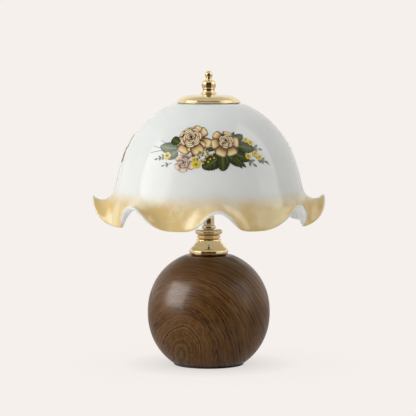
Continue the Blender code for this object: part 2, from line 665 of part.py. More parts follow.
def build_bulb(steel, clear, copper):
    tip = scaled(BULB_TIP_SHARES, BULB_TIP_RADIUS, BULB_TIP_HEIGHT)
    turned_solid("bulb_contact", tip, copper, level=BULB_TIP_LEVEL, ease=0)
    skirt_base = BULB_CAP_HEIGHT - BULB_SKIRT_HEIGHT
    wall = BULB_CAP_WALL
    slope = BULB_SKIRT_RADIUS - BULB_CAP_RADIUS
    section = [
        (BULB_SKIRT_RADIUS, BULB_CAP_HEIGHT),
        (BULB_SKIRT_RADIUS, skirt_base),
        (BULB_CAP_RADIUS, skirt_base - slope),
        (BULB_CAP_RADIUS, slope),
        (BULB_TIP_RADIUS, 0),
        (BULB_TIP_RADIUS - wall, wall),
        (BULB_CAP_RADIUS - wall, slope + wall),
        (BULB_CAP_RADIUS - wall, skirt_base - slope),
        (BULB_SKIRT_RADIUS - wall, skirt_base),
        (BULB_SKIRT_RADIUS - wall, BULB_CAP_HEIGHT),
    ]
    turned_loop("bulb_cap", section, steel, level=BULB_CAP_LEVEL)
    neck = BULB_SKIRT_RADIUS - wall - GAP
    outer = bulb_outline(BULB_RADIUS, neck)
    inner = bulb_outline(BULB_RADIUS - BULB_WALL, neck - BULB_WALL)
    mesh = turned_mesh("bulb_glass", outer + inner[::-1], False)
    bulb = add_part("bulb_glass", mesh, clear, place=(0, 0, BULB_GLASS_LEVEL))
    add_screw(bulb, HIDDEN_STEPS)
    flare = neck - BULB_WALL - GAP
    stem = [
        (STEM_RADIUS, STEM_HEIGHT),
        (STEM_RADIUS, STEM_FLARE_HEIGHT),
        (flare, STEM_FLARE_HEIGHT * STEM_RIM_SHARE),
        (flare, 0),
    ]
    turned_solid("bulb_stem", stem, clear, level=BULB_GLASS_LEVEL, ease=0)
    shoulder = STEM_FLARE_HEIGHT * FILAMENT_FOOT_SHARE + GAP + FILAMENT_RADIUS
    right = [Vector((FILAMENT_REACH * x, 0, FILAMENT_HEIGHT * z)) for x, z in FILAMENT_SHARES]
    left = [Vector((-point.x, 0, point.z)) for point in right[:-1]]
    route = left + right[::-1]
    add_wire("bulb_filament", route, FILAMENT_RADIUS, copper, (0, 0, BULB_GLASS_LEVEL + shoulder), bevel=0)


def crest_strength(turn):
    """How far the rim is crimped outwards at one place round the shade, from 0 to 1.

    The second number eases the curl of the crests at front and back, which lie flatter.
    """
    wave = (1 + math.cos(CREST_COUNT * turn)) / 2
    front = abs(math.cos(turn)) ** FRONT_EASE_POWER
    return wave ** CREST_WIDTH_POWER, 1 - FRONT_EASE_SHARE * front


def skirt_profile(turn):
    """Radius and depth of each skirt row below the dome at one place round the shade."""
    strength, ease = crest_strength(turn)
    length = LOBE_LENGTH + (CREST_LENGTH - LOBE_LENGTH) * strength
    steps = SKIRT_ROWS * SKIRT_SUBSTEPS
    radius, depth = DOME_RADIUS, 0
    rows = []
    for step in range(steps):
        run = (step + 1 / 2) / steps
        lobe = SKIRT_START_ANGLE + (LOBE_END_ANGLE - SKIRT_START_ANGLE) * run
        crest = SKIRT_START_ANGLE + (CREST_END_ANGLE - SKIRT_START_ANGLE) * run ** CREST_CURL_POWER
        angle = math.radians(lobe + (crest - lobe) * strength ** CREST_LIFT_POWER * ease)
        radius += math.sin(angle) * length / steps
        depth += math.cos(angle) * length / steps
        if (step + 1) % SKIRT_SUBSTEPS == 0:
            rows.append((radius, depth))
    return rows


def build_glass(opal, parent):
    """Dome spun from its outline, whose skirt is then crimped into crests and lobes."""
    bm = bmesh.new()
    outline = [(GLASS_HOLE_RADIUS, 0)] + scaled(DOME_SHARES, DOME_RADIUS, DOME_HEIGHT)
    row_drop = LOBE_LENGTH / SKIRT_ROWS
    straight = [(DOME_RADIUS, DOME_HEIGHT + row_drop * (row + 1)) for row in range(SKIRT_ROWS)]
    verts = [bm.verts.new((0, -radius, -depth)) for radius, depth in outline + straight]
    edges = [bm.edges.new(pair) for pair in zip(verts, verts[1:])]
    bmesh.ops.spin(bm, geom=verts + edges, cent=(0, 0, 0), axis=(0, 0, 1), angle=math.tau,
                   steps=SHADE_STEPS, use_merge=True)
    bmesh.ops.remove_doubles(bm, verts=bm.verts, dist=MERGE_DISTANCE)
    for vert in bm.verts:
        row = round((-vert.co.z - DOME_HEIGHT) / row_drop)
        if row < 1:
            continue
        azimuth = math.atan2(vert.co.x, -vert.co.y)
        radius, depth = skirt_profile(azimuth)[row - 1]
        vert.co = (radius * math.sin(azimuth), -radius * math.cos(azimuth), -DOME_HEIGHT - depth)
    bmesh.ops.recalc_face_normals(bm, faces=bm.faces)
    bm.normal_update()
    dome_face = max(bm.faces, key=lambda face: face.calc_center_median().z)
    if dome_face.normal.z < 0:
        bmesh.ops.reverse_faces(bm, faces=bm.faces)
    mesh = bpy.data.meshes.new("glass_shade")
    bm.to_mesh(mesh)
    bm.free()
    mesh.shade_smooth()
    shade = add_part("glass_shade", mesh, opal, turn=(0, 0, SHADE_TURN), parent=parent)
    shell = shade.modifiers.new("Glass", "SOLIDIFY")
    shell.thickness = GLASS_THICKNESS
    shell.offset = -1
    shell.use_even_offset = True
    return shade


def build_shade(opal, rubber, brass):
    """Seat of the shade on the harp, and the glass with its rubber bush."""
    rest = disc_outline(REST_RADIUS, REST_THICKNESS)
    turned_ring("shade_rest", rest, STUD_BORE_RADIUS, brass, level=REST_LEVEL, steps=HIDDEN_STEPS)
    washer = disc_outline(SEAT_WASHER_RADIUS, SEAT_WASHER_THICKNESS)
    turned_ring("shade_washer", washer, STUD_BORE_RADIUS, rubber, level=SEAT_WASHER_LEVEL, ease=0)
    axis = add_empty("shade_axis", (0, 0, GLASS_TOP_LEVEL))
    build_glass(opal, axis)
    sleeve = GLASS_THICKNESS + GAP
    bush = [
        (SHADE_BUSH_RADIUS, sleeve + SHADE_BUSH_THICKNESS),
        (SHADE_BUSH_RADIUS, sleeve),
        (SHADE_BUSH_SLEEVE_RADIUS, sleeve),
        (SHADE_BUSH_SLEEVE_RADIUS, 0),
    ]
    turned_ring("shade_bush", bush, STUD_BORE_RADIUS, rubber, place=(0, 0, -GLASS_THICKNESS), parent=axis,
                ease=0)


def dome_depth(radius):
    """Depth of the glass below its crown at one radius."""
    points = scaled(DOME_SHARES, DOME_RADIUS, DOME_HEIGHT)
    for (near, high), (far, low) in zip(points, points[1:]):
        if near <= radius <= far:
            return high + (low - high) * (radius - near) / (far - near)
    return 0


def cap_level():
    """Level of the cap's rim, which stands on the shoulder of the glass."""
    return GLASS_TOP_LEVEL - dome_depth(CAP_RADIUS * CAP_SEAT_SHARE - CAP_WALL) + GAP


def finial_washer_level():
    return cap_level() + CAP_HEIGHT + GAP


def finial_level():
    return finial_washer_level() + FINIAL_WASHER_THICKNESS + GAP


def build_cap(brass):
    """Spun cap of even wall, with its hole for the stud."""
    outer = scaled(CAP_SHARES, CAP_RADIUS, CAP_HEIGHT)
    shrink = (CAP_RADIUS - CAP_WALL) / CAP_RADIUS
    inner = [(radius * shrink, height - CAP_WALL) for radius, height in outer if height > CAP_WALL]
    inner.append((outer[-1][0] * shrink, 0))
    hole = STUD_BORE_RADIUS
    crown = CAP_HEIGHT
    section = [(hole, crown)] + outer + inner[::-1] + [(hole, crown - CAP_WALL)]
    turned_loop("shade_cap", section, brass, level=cap_level(), steps=NECK_STEPS)


def build_finial(brass):
    washer = disc_outline(FINIAL_WASHER_RADIUS, FINIAL_WASHER_THICKNESS)
    turned_ring("finial_washer", washer, STUD_BORE_RADIUS, brass, level=finial_washer_level(),
                ease=FINIAL_WASHER_THICKNESS / 3)
    outer = scaled(FINIAL_SHARES, FINIAL_RADIUS, FINIAL_HEIGHT)
    depth = STUD_GRIP + GAP
    section = [(0, FINIAL_HEIGHT)] + outer + [(STUD_BORE_RADIUS, 0), (STUD_BORE_RADIUS, depth), (0, depth)]
    mesh = turned_mesh("finial", section, False)
    finial = add_part("finial", mesh, brass, place=(0, 0, finial_level()))
    add_screw(finial, HIDDEN_STEPS)


def main():
    brass = make_material("polished_brass", (0.62, 0.50, 0.30), 0.18, 1.0)
    harp_brass = make_material("plain_brass", (0.60, 0.47, 0.27), 0.3, 1.0)
    wood = make_material("satin_walnut", (0.085, 0.045, 0.026), 0.42)
    felt = make_material("dark_felt", (0.02, 0.018, 0.016), 0.95)
    opal = make_material("opal_glass", (0.80, 0.82, 0.81), 0.08)
    iron = make_material("cast_iron", (0.10, 0.10, 0.10), 0.7, 1.0)
    steel = make_material("plated_steel", (0.60, 0.60, 0.60), 0.3, 1.0)
    black = make_material("black_plastic", (0.02, 0.02, 0.02), 0.4)
    rubber = make_material("clear_grey_rubber", (0.18, 0.18, 0.17), 0.7)
    moulded = make_material("moulded_body", (0.05, 0.035, 0.03), 0.45)
    copper = make_material("contact_brass", (0.72, 0.52, 0.25), 0.3, 1.0)
    clear = make_material("bulb_glass", (0.90, 0.90, 0.88), 0.05)
    build_base(wood, felt, iron, steel, black)
    build_neck(brass, black)
    build_harp(harp_brass, steel)
    build_lampholder(harp_brass, moulded, copper)
    build_switch_knob(black)
    build_bulb(steel, clear, copper)
    build_shade(opal, rubber, harp_brass)
    build_cap(brass)
    build_finial(brass)


clear_scene()
PARTS = new_collection("ball_table_lamp")
CUTTERS = new_collection("cutters")
main()
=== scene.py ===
# %% [markdown]
# # A ball table lamp with a crimped glass shade
# The lamp is a walnut ball that carries a turned brass neck, a harp and an opal glass shade with
# a wavy rim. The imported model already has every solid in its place, so this lesson dresses it:
# each piece that shows gets a finer mesh in the same spot and a finish made of nodes.

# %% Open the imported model
import math
import random

import bmesh
import bpy
from mathutils import Matrix, Vector


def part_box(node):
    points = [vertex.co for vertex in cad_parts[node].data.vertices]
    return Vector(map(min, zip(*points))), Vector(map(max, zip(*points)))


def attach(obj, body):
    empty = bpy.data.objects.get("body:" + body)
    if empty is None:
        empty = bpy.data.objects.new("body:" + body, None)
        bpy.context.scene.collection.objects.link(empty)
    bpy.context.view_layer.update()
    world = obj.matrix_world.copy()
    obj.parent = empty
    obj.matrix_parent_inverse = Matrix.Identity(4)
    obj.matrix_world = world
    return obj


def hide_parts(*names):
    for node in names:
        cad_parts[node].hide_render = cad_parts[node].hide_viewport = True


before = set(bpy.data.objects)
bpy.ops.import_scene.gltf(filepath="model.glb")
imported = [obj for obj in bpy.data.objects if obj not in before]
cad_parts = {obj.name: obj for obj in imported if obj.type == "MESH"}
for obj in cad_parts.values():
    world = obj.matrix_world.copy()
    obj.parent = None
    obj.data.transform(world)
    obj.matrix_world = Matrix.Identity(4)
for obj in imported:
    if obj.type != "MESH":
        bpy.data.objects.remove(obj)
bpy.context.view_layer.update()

# %% [markdown]
# The camera stands about 2.4 m in front of the lamp, a little above the shade, and looks slightly
# down. A long lens at that distance keeps the ball round, as in a catalogue picture. The lens is
# worked out from the picture's width, because Blender's own render size isn't set here.

# %% Set up the camera
PICTURE_WIDTH = 416
FOCAL_PIXELS = 2258.9
SENSOR_WIDTH = 36
FARTHEST_SEEN = 50
CAMERA_PLACE = (-0.0008, -2.4, 0.365)
CAMERA_DROP = math.radians(4.707)


def add_object(name, data):
    """Put a mesh, a lamp, a curve or a camera into the scene."""
    made = bpy.data.objects.new(name, data)
    bpy.context.scene.collection.objects.link(made)
    return made


def mesh_object(name, bm):
    """Turn a finished bmesh into an object."""
    mesh = bpy.data.meshes.new(name)
    bm.to_mesh(mesh)
    bm.free()
    return add_object(name, mesh)


lens = bpy.data.cameras.new("studio_camera")
lens.sensor_width = SENSOR_WIDTH
lens.lens = SENSOR_WIDTH * FOCAL_PIXELS / PICTURE_WIDTH
lens.clip_end = FARTHEST_SEEN
camera = add_object("studio_camera", lens)
camera.location = CAMERA_PLACE
camera.rotation_euler = (math.pi / 2 - CAMERA_DROP, 0, 0)
bpy.context.scene.camera = camera
bpy.context.scene.view_settings.view_transform = "Standard"
print("lens", round(lens.lens, 1), "mm")

# %% [markdown]
# Nodes are added many times below, so a small class holds a node tree. It makes a node, sets its
# options, and types a value into each socket or links another node's output to it. The rest of
# the class is short ways to the few nodes that every finish uses. Below, n is the tree in hand.

# %% Helpers for node trees
class Nodes:
    def __init__(self, tree):
        self.tree = tree

    def fill(self, node, inputs):
        for socket, value in inputs.items():
            if isinstance(value, bpy.types.NodeSocket):
                self.tree.links.new(value, node.inputs[socket])
            else:
                node.inputs[socket].default_value = value

    def add(self, kind, inputs=None, **options):
        made = self.tree.nodes.new("ShaderNode" + kind)
        for option, value in options.items():
            setattr(made, option, value)
        self.fill(made, inputs or {})
        return made

    def reckon(self, operation, *values):
        """One step of arithmetic on numbers or sockets."""
        return self.add("Math", dict(enumerate(values)), operation=operation).outputs[0]

    def times(self, first, second):
        return self.reckon("MULTIPLY", first, second)

    def ranged(self, value, start, end, low=0.0, high=1.0, smooth=True):
        """Remap a number that runs from start to end so that it runs from low to high."""
        inputs = {"Value": value, "From Min": start, "From Max": end, "To Min": low, "To Max": high}
        kind = "SMOOTHSTEP" if smooth else "LINEAR"
        return self.add("MapRange", inputs, interpolation_type=kind).outputs["Result"]

    def mixed(self, share, first, second):
        """A colour between two others."""
        return self.add("Mix", {0: share, 6: first, 7: second}, data_type="RGBA").outputs[2]

    def speckle(self, vector, scale, detail=3.0, roughness=0.55):
        """A noise value from 0 to 1 over a vector."""
        inputs = {"Vector": vector, "Scale": scale, "Detail": detail, "Roughness": roughness}
        return self.add("TexNoise", inputs).outputs["Fac"]

    def banded(self, number, scale, detail):
        """A noise value from 0 to 1 along a number."""
        inputs = {"W": number, "Scale": scale, "Detail": detail}
        return self.add("TexNoise", inputs, noise_dimensions="1D").outputs["Fac"]

    def split(self, vector):
        return self.add("SeparateXYZ", {0: vector}).outputs

    def joined(self, *parts):
        return self.add("CombineXYZ", dict(enumerate(parts))).outputs[0]

    def length(self, vector):
        return self.add("VectorMath", {0: vector}, operation="LENGTH").outputs["Value"]

    def painted(self, name, output="Fac"):
        """What the mesh says under a name at each of its points."""
        return self.add("Attribute", attribute_name=name).outputs[output]


# %% [markdown]
# The studio is a pale room. Its wall and floor have one warm white, seen by the camera, in
# reflections and through glass, while the light that falls on the lamp is set apart from it and
# is stronger from the left. Polished metal looks like metal only when it has something dark to
# reflect, so the part of the room in front of the lamp is dark in reflections, as it is behind a
# photographer, and the ceiling is a little dimmer than the wall.

# %% Light the room
BLACK = (0, 0, 0, 1)
PAPER = (0.913, 0.871, 0.839, 1)
LEFT_LIGHT, RIGHT_LIGHT, LIGHT_REACH = 0.62, 0.22, 0.9
FRONT_DARK = (0.034, 0.019, 0.007, 1)
FRONT_HALF_WIDTH, FRONT_BLUR = math.radians(40), math.radians(10)
FRONT_TOP = (0.72, 0.46)
CEILING_START, CEILING_SHARE = (0.45, 0.85), 0.62


def emptied(owner):
    """Clear the node tree of a world or a material."""
    owner.use_nodes = True
    owner.node_tree.nodes.clear()
    return Nodes(owner.node_tree)


def seen_directly(n):
    """1 for a ray from the camera, a reflection or a look through glass, or else 0."""
    path = n.add("LightPath").outputs
    reflected = path["Is Glossy Ray"]
    seen = n.reckon("MAXIMUM", path["Is Camera Ray"], reflected)
    return n.reckon("MAXIMUM", seen, path["Is Transmission Ray"]), reflected


def front_zone(n, way, fade):
    """1 in front of the lamp and 0 beside and behind it, times a fade."""
    heading = n.reckon("ARCTAN2", way["X"], n.times(way["Y"], -1.0))
    aside = n.reckon("ABSOLUTE", heading)
    return n.times(n.ranged(aside, FRONT_HALF_WIDTH + FRONT_BLUR, FRONT_HALF_WIDTH), fade)


room = bpy.data.worlds.new("pale_room")
bpy.context.scene.world = room
n = emptied(room)
seen, reflected = seen_directly(n)
way = n.split(n.add("TexCoord").outputs["Generated"])
in_front = front_zone(n, way, n.ranged(way["Z"], *FRONT_TOP))
overhead = n.ranged(way["Z"], *CEILING_START, 1.0, CEILING_SHARE)
reflection = n.mixed(in_front, n.mixed(overhead, BLACK, PAPER), FRONT_DARK)
view = n.mixed(reflected, PAPER, reflection)
fall = n.ranged(way["X"], -LIGHT_REACH, LIGHT_REACH, LEFT_LIGHT, RIGHT_LIGHT, smooth=False)
falling = n.add("CombineColor", {0: fall, 1: fall, 2: fall}).outputs[0]
glow = n.add("Background", {"Color": n.mixed(seen, falling, view), "Strength": 1.0})
n.add("OutputWorld", {"Surface": glow.outputs[0]})
print("room light from", RIGHT_LIGHT, "to", LEFT_LIGHT)

# %% [markdown]
# Large soft boxes do the rest. The strong one stands to the left, and a fill, a side, a low and a
# top box hang where nothing mirrors them. What a box gives as light and what it gives as a
# reflection are lamps of their own, one just in front of the other. The shine is a bright panel in
# the glass and the gleam one in the varnish, which throw back a small share of it. Brass throws
# back nearly all, so it takes a dim lamp, the glint. A collection for each says which pieces take
# it. No box is seen by the camera. The table gives each box's turn from the front and its lift in
# degrees, how far away it is and its size in metres, and the power of its lamps in watts.

# %% Soft boxes
STEP_AHEAD = {"light": 0.0, "shine": 0.02, "gleam": 0.04, "glint": 0.06}
SOFT_BOXES = {
    "left_box": (-71, 25, 1.35, (0.98, 1.00), {"light": 4.5, "shine": 29, "gleam": 36, "glint": 4}),
    "right_box": (80, 36, 1.45, (0.80, 1.60), {"shine": 23, "gleam": 7, "glint": 2.5}),
    "side_box": (96, 32, 1.45, (0.80, 1.20), {"light": 5.2}),
    "fill_box": (-34, 24, 1.50, (0.80, 0.80), {"light": 2.4}),
    "low_box": (-56, 3, 1.40, (0.90, 0.40), {"light": 2.1}),
    "top_box": (-150, 70, 1.50, (1.20, 1.20), {"light": 5}),
}
LAMP_MIDDLE = Vector((0, 0, 0.17))
TAKEN_BY = {"opal_glass": "shine", "polished_brass": "glint"}
TAKERS = {part: bpy.data.collections.new("takes_" + part) for part in ("shine", "gleam", "glint")}
for name, (turn, lift, away, size, powers) in SOFT_BOXES.items():
    turn, lift = math.radians(turn), math.radians(lift)
    way = Vector((math.sin(turn) * math.cos(lift), -math.cos(turn) * math.cos(lift), math.sin(lift)))
    for part, power in powers.items():
        light = bpy.data.lights.new(name + "_" + part, "AREA")
        light.shape, light.energy = "RECTANGLE", power
        light.size, light.size_y = size
        holder = add_object(light.name, light)
        holder.location = LAMP_MIDDLE + way * (away - STEP_AHEAD[part])
        holder.rotation_euler = way.to_track_quat("Z", "Y").to_euler()
        holder.visible_camera = False
        holder.visible_diffuse, holder.visible_glossy = part == "light", part != "light"
        if part in TAKERS:
            holder.light_linking.receiver_collection = TAKERS[part]
print(len(SOFT_BOXES), "soft boxes")

# %% [markdown]
# The floor is a wide sheet of the same paper. Near the lamp a small share of it takes real light,
# but the lamp's shadow on it is mostly painted: ambient occlusion darkens the paper colour where the
# lamp is close. Further out it fades into the plain colour of the wall, so no horizon shows. In
# reflections it is dimmer, and nearly dark in front of the lamp, as the room is there.

# %% Lay the floor
FLOOR_SIZE = 30
FLOOR_ALBEDO = (0.90, 0.87, 0.85, 1)
FLOOR_MIRRORED_SHARE = 0.55
FLOOR_FRONT = (0.070, 0.046, 0.022, 1)
FLOOR_FRONT_FADE = (0.20, 0.45)
LIT_FADE, LIT_SHARE = (0.20, 0.10), 0.05
SHADOW_REACH = 0.050
SHADOW_FADE, SHADOW_SHARE = (0.10, 0.95), 0.76
bm = bmesh.new()
bmesh.ops.create_grid(bm, x_segments=1, y_segments=1, size=FLOOR_SIZE / 2)
floor = mesh_object("floor", bm)

paper = bpy.data.materials.new("floor_paper")
n = emptied(paper)
seen, reflected = seen_directly(n)
place = n.add("TexCoord").outputs["Object"]
away = n.length(place)
in_front = front_zone(n, n.split(place), n.ranged(away, *FLOOR_FRONT_FADE))
# Painted shadow: ambient occlusion darkens the paper colour where the lamp stands close.
painted_shadow_occlusion = n.add("AmbientOcclusion", {"Distance": SHADOW_REACH}, samples=16).outputs["AO"]
painted_shadow_factor = n.ranged(painted_shadow_occlusion, *SHADOW_FADE, SHADOW_SHARE, 1.0, smooth=False)
plain = n.mixed(painted_shadow_factor, BLACK, PAPER)
mirrored = n.mixed(in_front, n.mixed(FLOOR_MIRRORED_SHARE, BLACK, plain), FLOOR_FRONT)
matt = n.add("BsdfDiffuse", {"Color": FLOOR_ALBEDO}).outputs[0]
glow = n.add("Emission", {"Color": n.mixed(reflected, plain, mirrored)}).outputs[0]
near = n.ranged(away, *LIT_FADE, 0.0, LIT_SHARE)
lit = n.add("MixShader", {0: near, 1: glow, 2: matt}).outputs[0]
shown = n.add("MixShader", {0: seen, 1: matt, 2: lit}).outputs[0]
n.add("OutputMaterial", {"Surface": shown})
floor.data.materials.append(paper)
print("floor", FLOOR_SIZE, "m wide")

# %% [markdown]
# Every finish starts in the same way: a Principled shader whose colour, roughness and bump come
# from nodes. The class below also gives the place of each point on the piece, in metres, which
# all patterns are measured in, and keeps the finish under its name.

# %% Start a finish
finishes = {}


class Finish(Nodes):
    def __init__(self, name):
        finishes[name] = bpy.data.materials.new(name)
        finishes[name].use_nodes = True
        super().__init__(finishes[name].node_tree)
        self.place = self.add("TexCoord").outputs["Object"]

    def shade(self, **values):
        """Type or link values into the shader. A blank in a socket's name is written as _ here."""
        shader = self.tree.nodes["Principled BSDF"]
        self.fill(shader, {name.replace("_", " "): value for name, value in values.items()})

    def bump(self, height, distance, strength=1.0):
        made = self.add("Bump", {"Height": height, "Distance": distance, "Strength": strength})
        self.shade(Normal=made.outputs["Normal"])


# %% [markdown]
# Brass on a lamp is turned on a lathe and polished. The tool leaves rings round the axis that are
# far too fine to see one by one, yet they break up the gloss, and the lacquer ages a little
# unevenly. The rings depend only on the height and the distance from the axis.

# %% Brass finishes
PATINA_SCALE = 130
RING_DEPTH = 0.000004
BRASSES = {
    "polished_brass": ((0.86, 0.71, 0.43), (0.80, 0.63, 0.34), 0.10, 2600),
    "mirror_brass": ((0.93, 0.78, 0.48), (0.88, 0.70, 0.38), 0.06, 2600),
    "bell_brass": ((0.98, 0.76, 0.42), (0.95, 0.70, 0.35), 0.10, 2600),
    "plain_brass": ((0.78, 0.61, 0.35), (0.66, 0.48, 0.25), 0.26, 1800),
    "contact_brass": ((0.80, 0.58, 0.28), (0.62, 0.42, 0.20), 0.30, 1500),
}
for name, (bright, aged, gloss, ring_scale) in BRASSES.items():
    n = Finish(name)
    part = n.split(n.place)
    from_axis = n.length(n.joined(part["X"], part["Y"], 0.0))
    ring = n.speckle(n.joined(from_axis, 0.0, part["Z"]), ring_scale, 2.0)
    patina = n.ranged(n.speckle(n.place, PATINA_SCALE, 4.0), 0.35, 0.72)
    n.shade(Base_Color=n.mixed(patina, (*bright, 1), (*aged, 1)), Metallic=1.0,
            Roughness=n.ranged(ring, 0.3, 0.7, gloss * 0.7, gloss * 1.3))
    n.bump(ring, RING_DEPTH)
print(len(BRASSES), "brass finishes")

# %% [markdown]
# The ball is cut from one block of walnut whose pith runs close to the low left of the front.
# The year rings are tubes round that line, so where the ball's surface cuts them they show as
# arcs at the low left and as near upright stripes at the right. A mapping node puts its Z axis
# on the pith line, and then the distance from that axis picks the ring. Fine fibres follow the
# rings, so their pattern is stretched along them and squeezed across them. In the table of tones
# the darkest and the lightest come first, because a new ramp has those two stops already.

# %% Walnut finish
PITH_PLACE = (-0.0245, 0.0, -0.0037)
PITH_TURN = (math.radians(66), 0.0, math.radians(-6))
SWAY_SCALE, SWAY = 12, 0.020
RIPPLE_SCALE, RIPPLE = 90, 0.0026
FIBRES_ALONG, FIBRES_ROUND, FIBRES_ACROSS = 30.0, 6.0, 640.0
FIBRE_WEIGHT, FIBRE_DEPTH = 0.44, 0.00016
RING_BANDS = ((62, 0.18), (230, 0.14), (620, 0.24))
DARK_SCALE, DARK_SHIFT, DARK_START, DARK_SHARE = 240, 0.37, (0.56, 0.70), 0.80
WARM_SCALE, WARM_START, WARM_SHARE = 26, (0.42, 0.66), 0.45
DARK_YEAR, WARM_STAIN = (0.018, 0.007, 0.002, 1), (0.150, 0.058, 0.012, 1)
WALNUT_TONES = (
    (0.37, (0.024, 0.0088, 0.0016, 1)), (0.68, (0.250, 0.130, 0.042, 1)),
    (0.45, (0.072, 0.029, 0.0062, 1)), (0.53, (0.132, 0.060, 0.0150, 1)),
)

n = Finish("satin_walnut")
inputs = {"Vector": n.place, "Location": PITH_PLACE, "Rotation": PITH_TURN}
log = n.add("Mapping", inputs, vector_type="TEXTURE").outputs[0]
part = n.split(log)
flat = n.joined(part["X"], part["Y"], 0.0)
side = n.split(n.add("VectorMath", {0: flat}, operation="NORMALIZE").outputs[0])
sway = n.reckon("SUBTRACT", n.speckle(log, SWAY_SCALE, 2.0), 0.5)
ripple = n.reckon("SUBTRACT", n.speckle(log, RIPPLE_SCALE), 0.5)
ring = n.reckon("MULTIPLY_ADD", sway, SWAY, n.length(flat))
ring = n.reckon("MULTIPLY_ADD", ripple, RIPPLE, ring)
fibre_place = n.joined(
    n.reckon("MULTIPLY_ADD", part["Z"], FIBRES_ALONG, n.times(side["X"], FIBRES_ROUND)),
    n.times(side["Y"], FIBRES_ROUND), n.times(ring, FIBRES_ACROSS))
fibres = n.speckle(fibre_place, 1.0, 5.0, 0.72)
tone = n.times(fibres, FIBRE_WEIGHT)
for scale, weight in RING_BANDS:
    tone = n.reckon("MULTIPLY_ADD", n.banded(ring, scale, 2.0), weight, tone)
ramp = n.add("ValToRGB", {"Fac": tone})
stops = ramp.color_ramp.elements
for stop, (position, stain) in zip(stops, WALNUT_TONES):
    stop.position, stop.color = position, stain
for position, stain in WALNUT_TONES[2:]:
    stops.new(position).color = stain
dark_years = n.banded(n.reckon("ADD", ring, DARK_SHIFT), DARK_SCALE, 1.0)
dark_years = n.ranged(dark_years, *DARK_START, 0.0, DARK_SHARE)
dark_years = n.times(dark_years, n.ranged(fibres, 0.62, 0.40, 0.05, 1.0))
colour = n.mixed(dark_years, ramp.outputs["Color"], DARK_YEAR)
warm = n.ranged(n.speckle(log, WARM_SCALE, 2.0), *WARM_START, 0.0, WARM_SHARE)
n.shade(Base_Color=n.mixed(warm, colour, WARM_STAIN), Roughness=n.ranged(fibres, 0.3, 0.7, 0.42, 0.27),
        Specular_IOR_Level=0.14, Coat_Weight=0.18, Coat_Roughness=0.20)
n.bump(fibres, FIBRE_DEPTH, 0.7)
print("walnut rings start at", PITH_PLACE)

# %% [markdown]
# Opal glass is white all through and its skin is glossy, so light sinks in and comes out again a
# little way off: the shader's subsurface share does that. The gold lustre is a thin film that is
# sprayed on the outside near the rim while the shade turns on a wheel. It is strongest at the
# edge and fades with height. The mesh has a number at each point, from 0 on the dome to 1 at the
# rim, that helps to place it. A second number, the crest, is 1 in the middle of each crest. The cut
# edge of the glass faces down there, so the spray misses it and it stays white.

# %% Glass finishes
LUSTRE_TOP, LUSTRE_FULL, LUSTRE_DRIFT = 0.1915, 0.1700, 0.010
GLASS_WHITE, GLASS_MILK = (0.800, 0.815, 0.790, 1), (0.765, 0.785, 0.765, 1)
GOLD_FILM, GOLD_THIN = (0.710, 0.525, 0.230, 1), (0.810, 0.680, 0.405, 1)
GOLD_METAL, GOLD_SHINE, GOLD_BLUR = 0.008, 0.075, 0.13
RIM_START, RIM_SHARE, BARE_START = (0.78, 0.98), 0.85, (0.45, 0.15)
PAINTED_INNER_GLOW = 0.14
SEEN_DEPTH = (0.004, 0.004, 0.0035)
WAVE_SCALE, WAVE_DEPTH = 16, 0.0006
CLOUD_SCALE, GLOSS_SCALE, DRIFT_SCALE, THIN_SCALE = 24, 90, 28, 30


def opal_finish(name, gilded, bare_at=None):
    """Opal glass, gilded or not, whose gold leaves out where the mesh says bare_at.
    The ungilded inner glass gets a painted glow.
    """
    n = Finish(name)
    glass = n.mixed(n.ranged(n.speckle(n.place, CLOUD_SCALE), 0.35, 0.7), GLASS_WHITE, GLASS_MILK)
    rough = n.ranged(n.speckle(n.place, GLOSS_SCALE), 0.3, 0.8, 0.07, 0.12)
    if gilded:
        drift = n.reckon("SUBTRACT", n.speckle(n.place, DRIFT_SCALE), 0.5)
        height = n.reckon("ADD", n.split(n.place)["Z"], n.times(drift, LUSTRE_DRIFT))
        edge = n.ranged(n.painted("rim"), *RIM_START, 0.0, RIM_SHARE)
        film = n.reckon("MAXIMUM", n.ranged(height, LUSTRE_TOP, LUSTRE_FULL), edge)
        if bare_at:
            film = n.times(film, n.ranged(n.painted(bare_at), *BARE_START))
        thin = n.ranged(n.speckle(n.place, THIN_SCALE, 4.0, 0.6), 0.42, 0.62)
        glass = n.mixed(film, glass, n.mixed(thin, GOLD_FILM, GOLD_THIN))
        rough = n.reckon("MULTIPLY_ADD", film, GOLD_BLUR, rough)
        n.shade(Metallic=n.times(film, GOLD_METAL), Coat_Weight=n.times(film, GOLD_SHINE), Coat_IOR=1.8,
                Coat_Roughness=0.12)
    else:
        # Painted glow: a faint emission stands in for room light coming through the opal wall.
        n.shade(Emission_Color=GLASS_MILK, Emission_Strength=PAINTED_INNER_GLOW)
    n.shade(Base_Color=glass, Roughness=rough, Subsurface_Weight=0.18, Subsurface_Radius=SEEN_DEPTH,
            Subsurface_Scale=1.0, Specular_IOR_Level=0.095)
    n.bump(n.speckle(n.place, WAVE_SCALE, 1.0), WAVE_DEPTH, 0.5)


opal_finish("gilded_opal_glass", True)
opal_finish("opal_glass_edge", True, "crest")
opal_finish("inner_opal_glass_painted_glow", False)
print("lustre from", LUSTRE_TOP, "to", LUSTRE_FULL, "m")

# %% [markdown]
# The plainer finishes differ only in two tones, how rough they are and how coarse and deep their
# grain is, so one recipe makes them all from a table. What only one of them needs comes last.

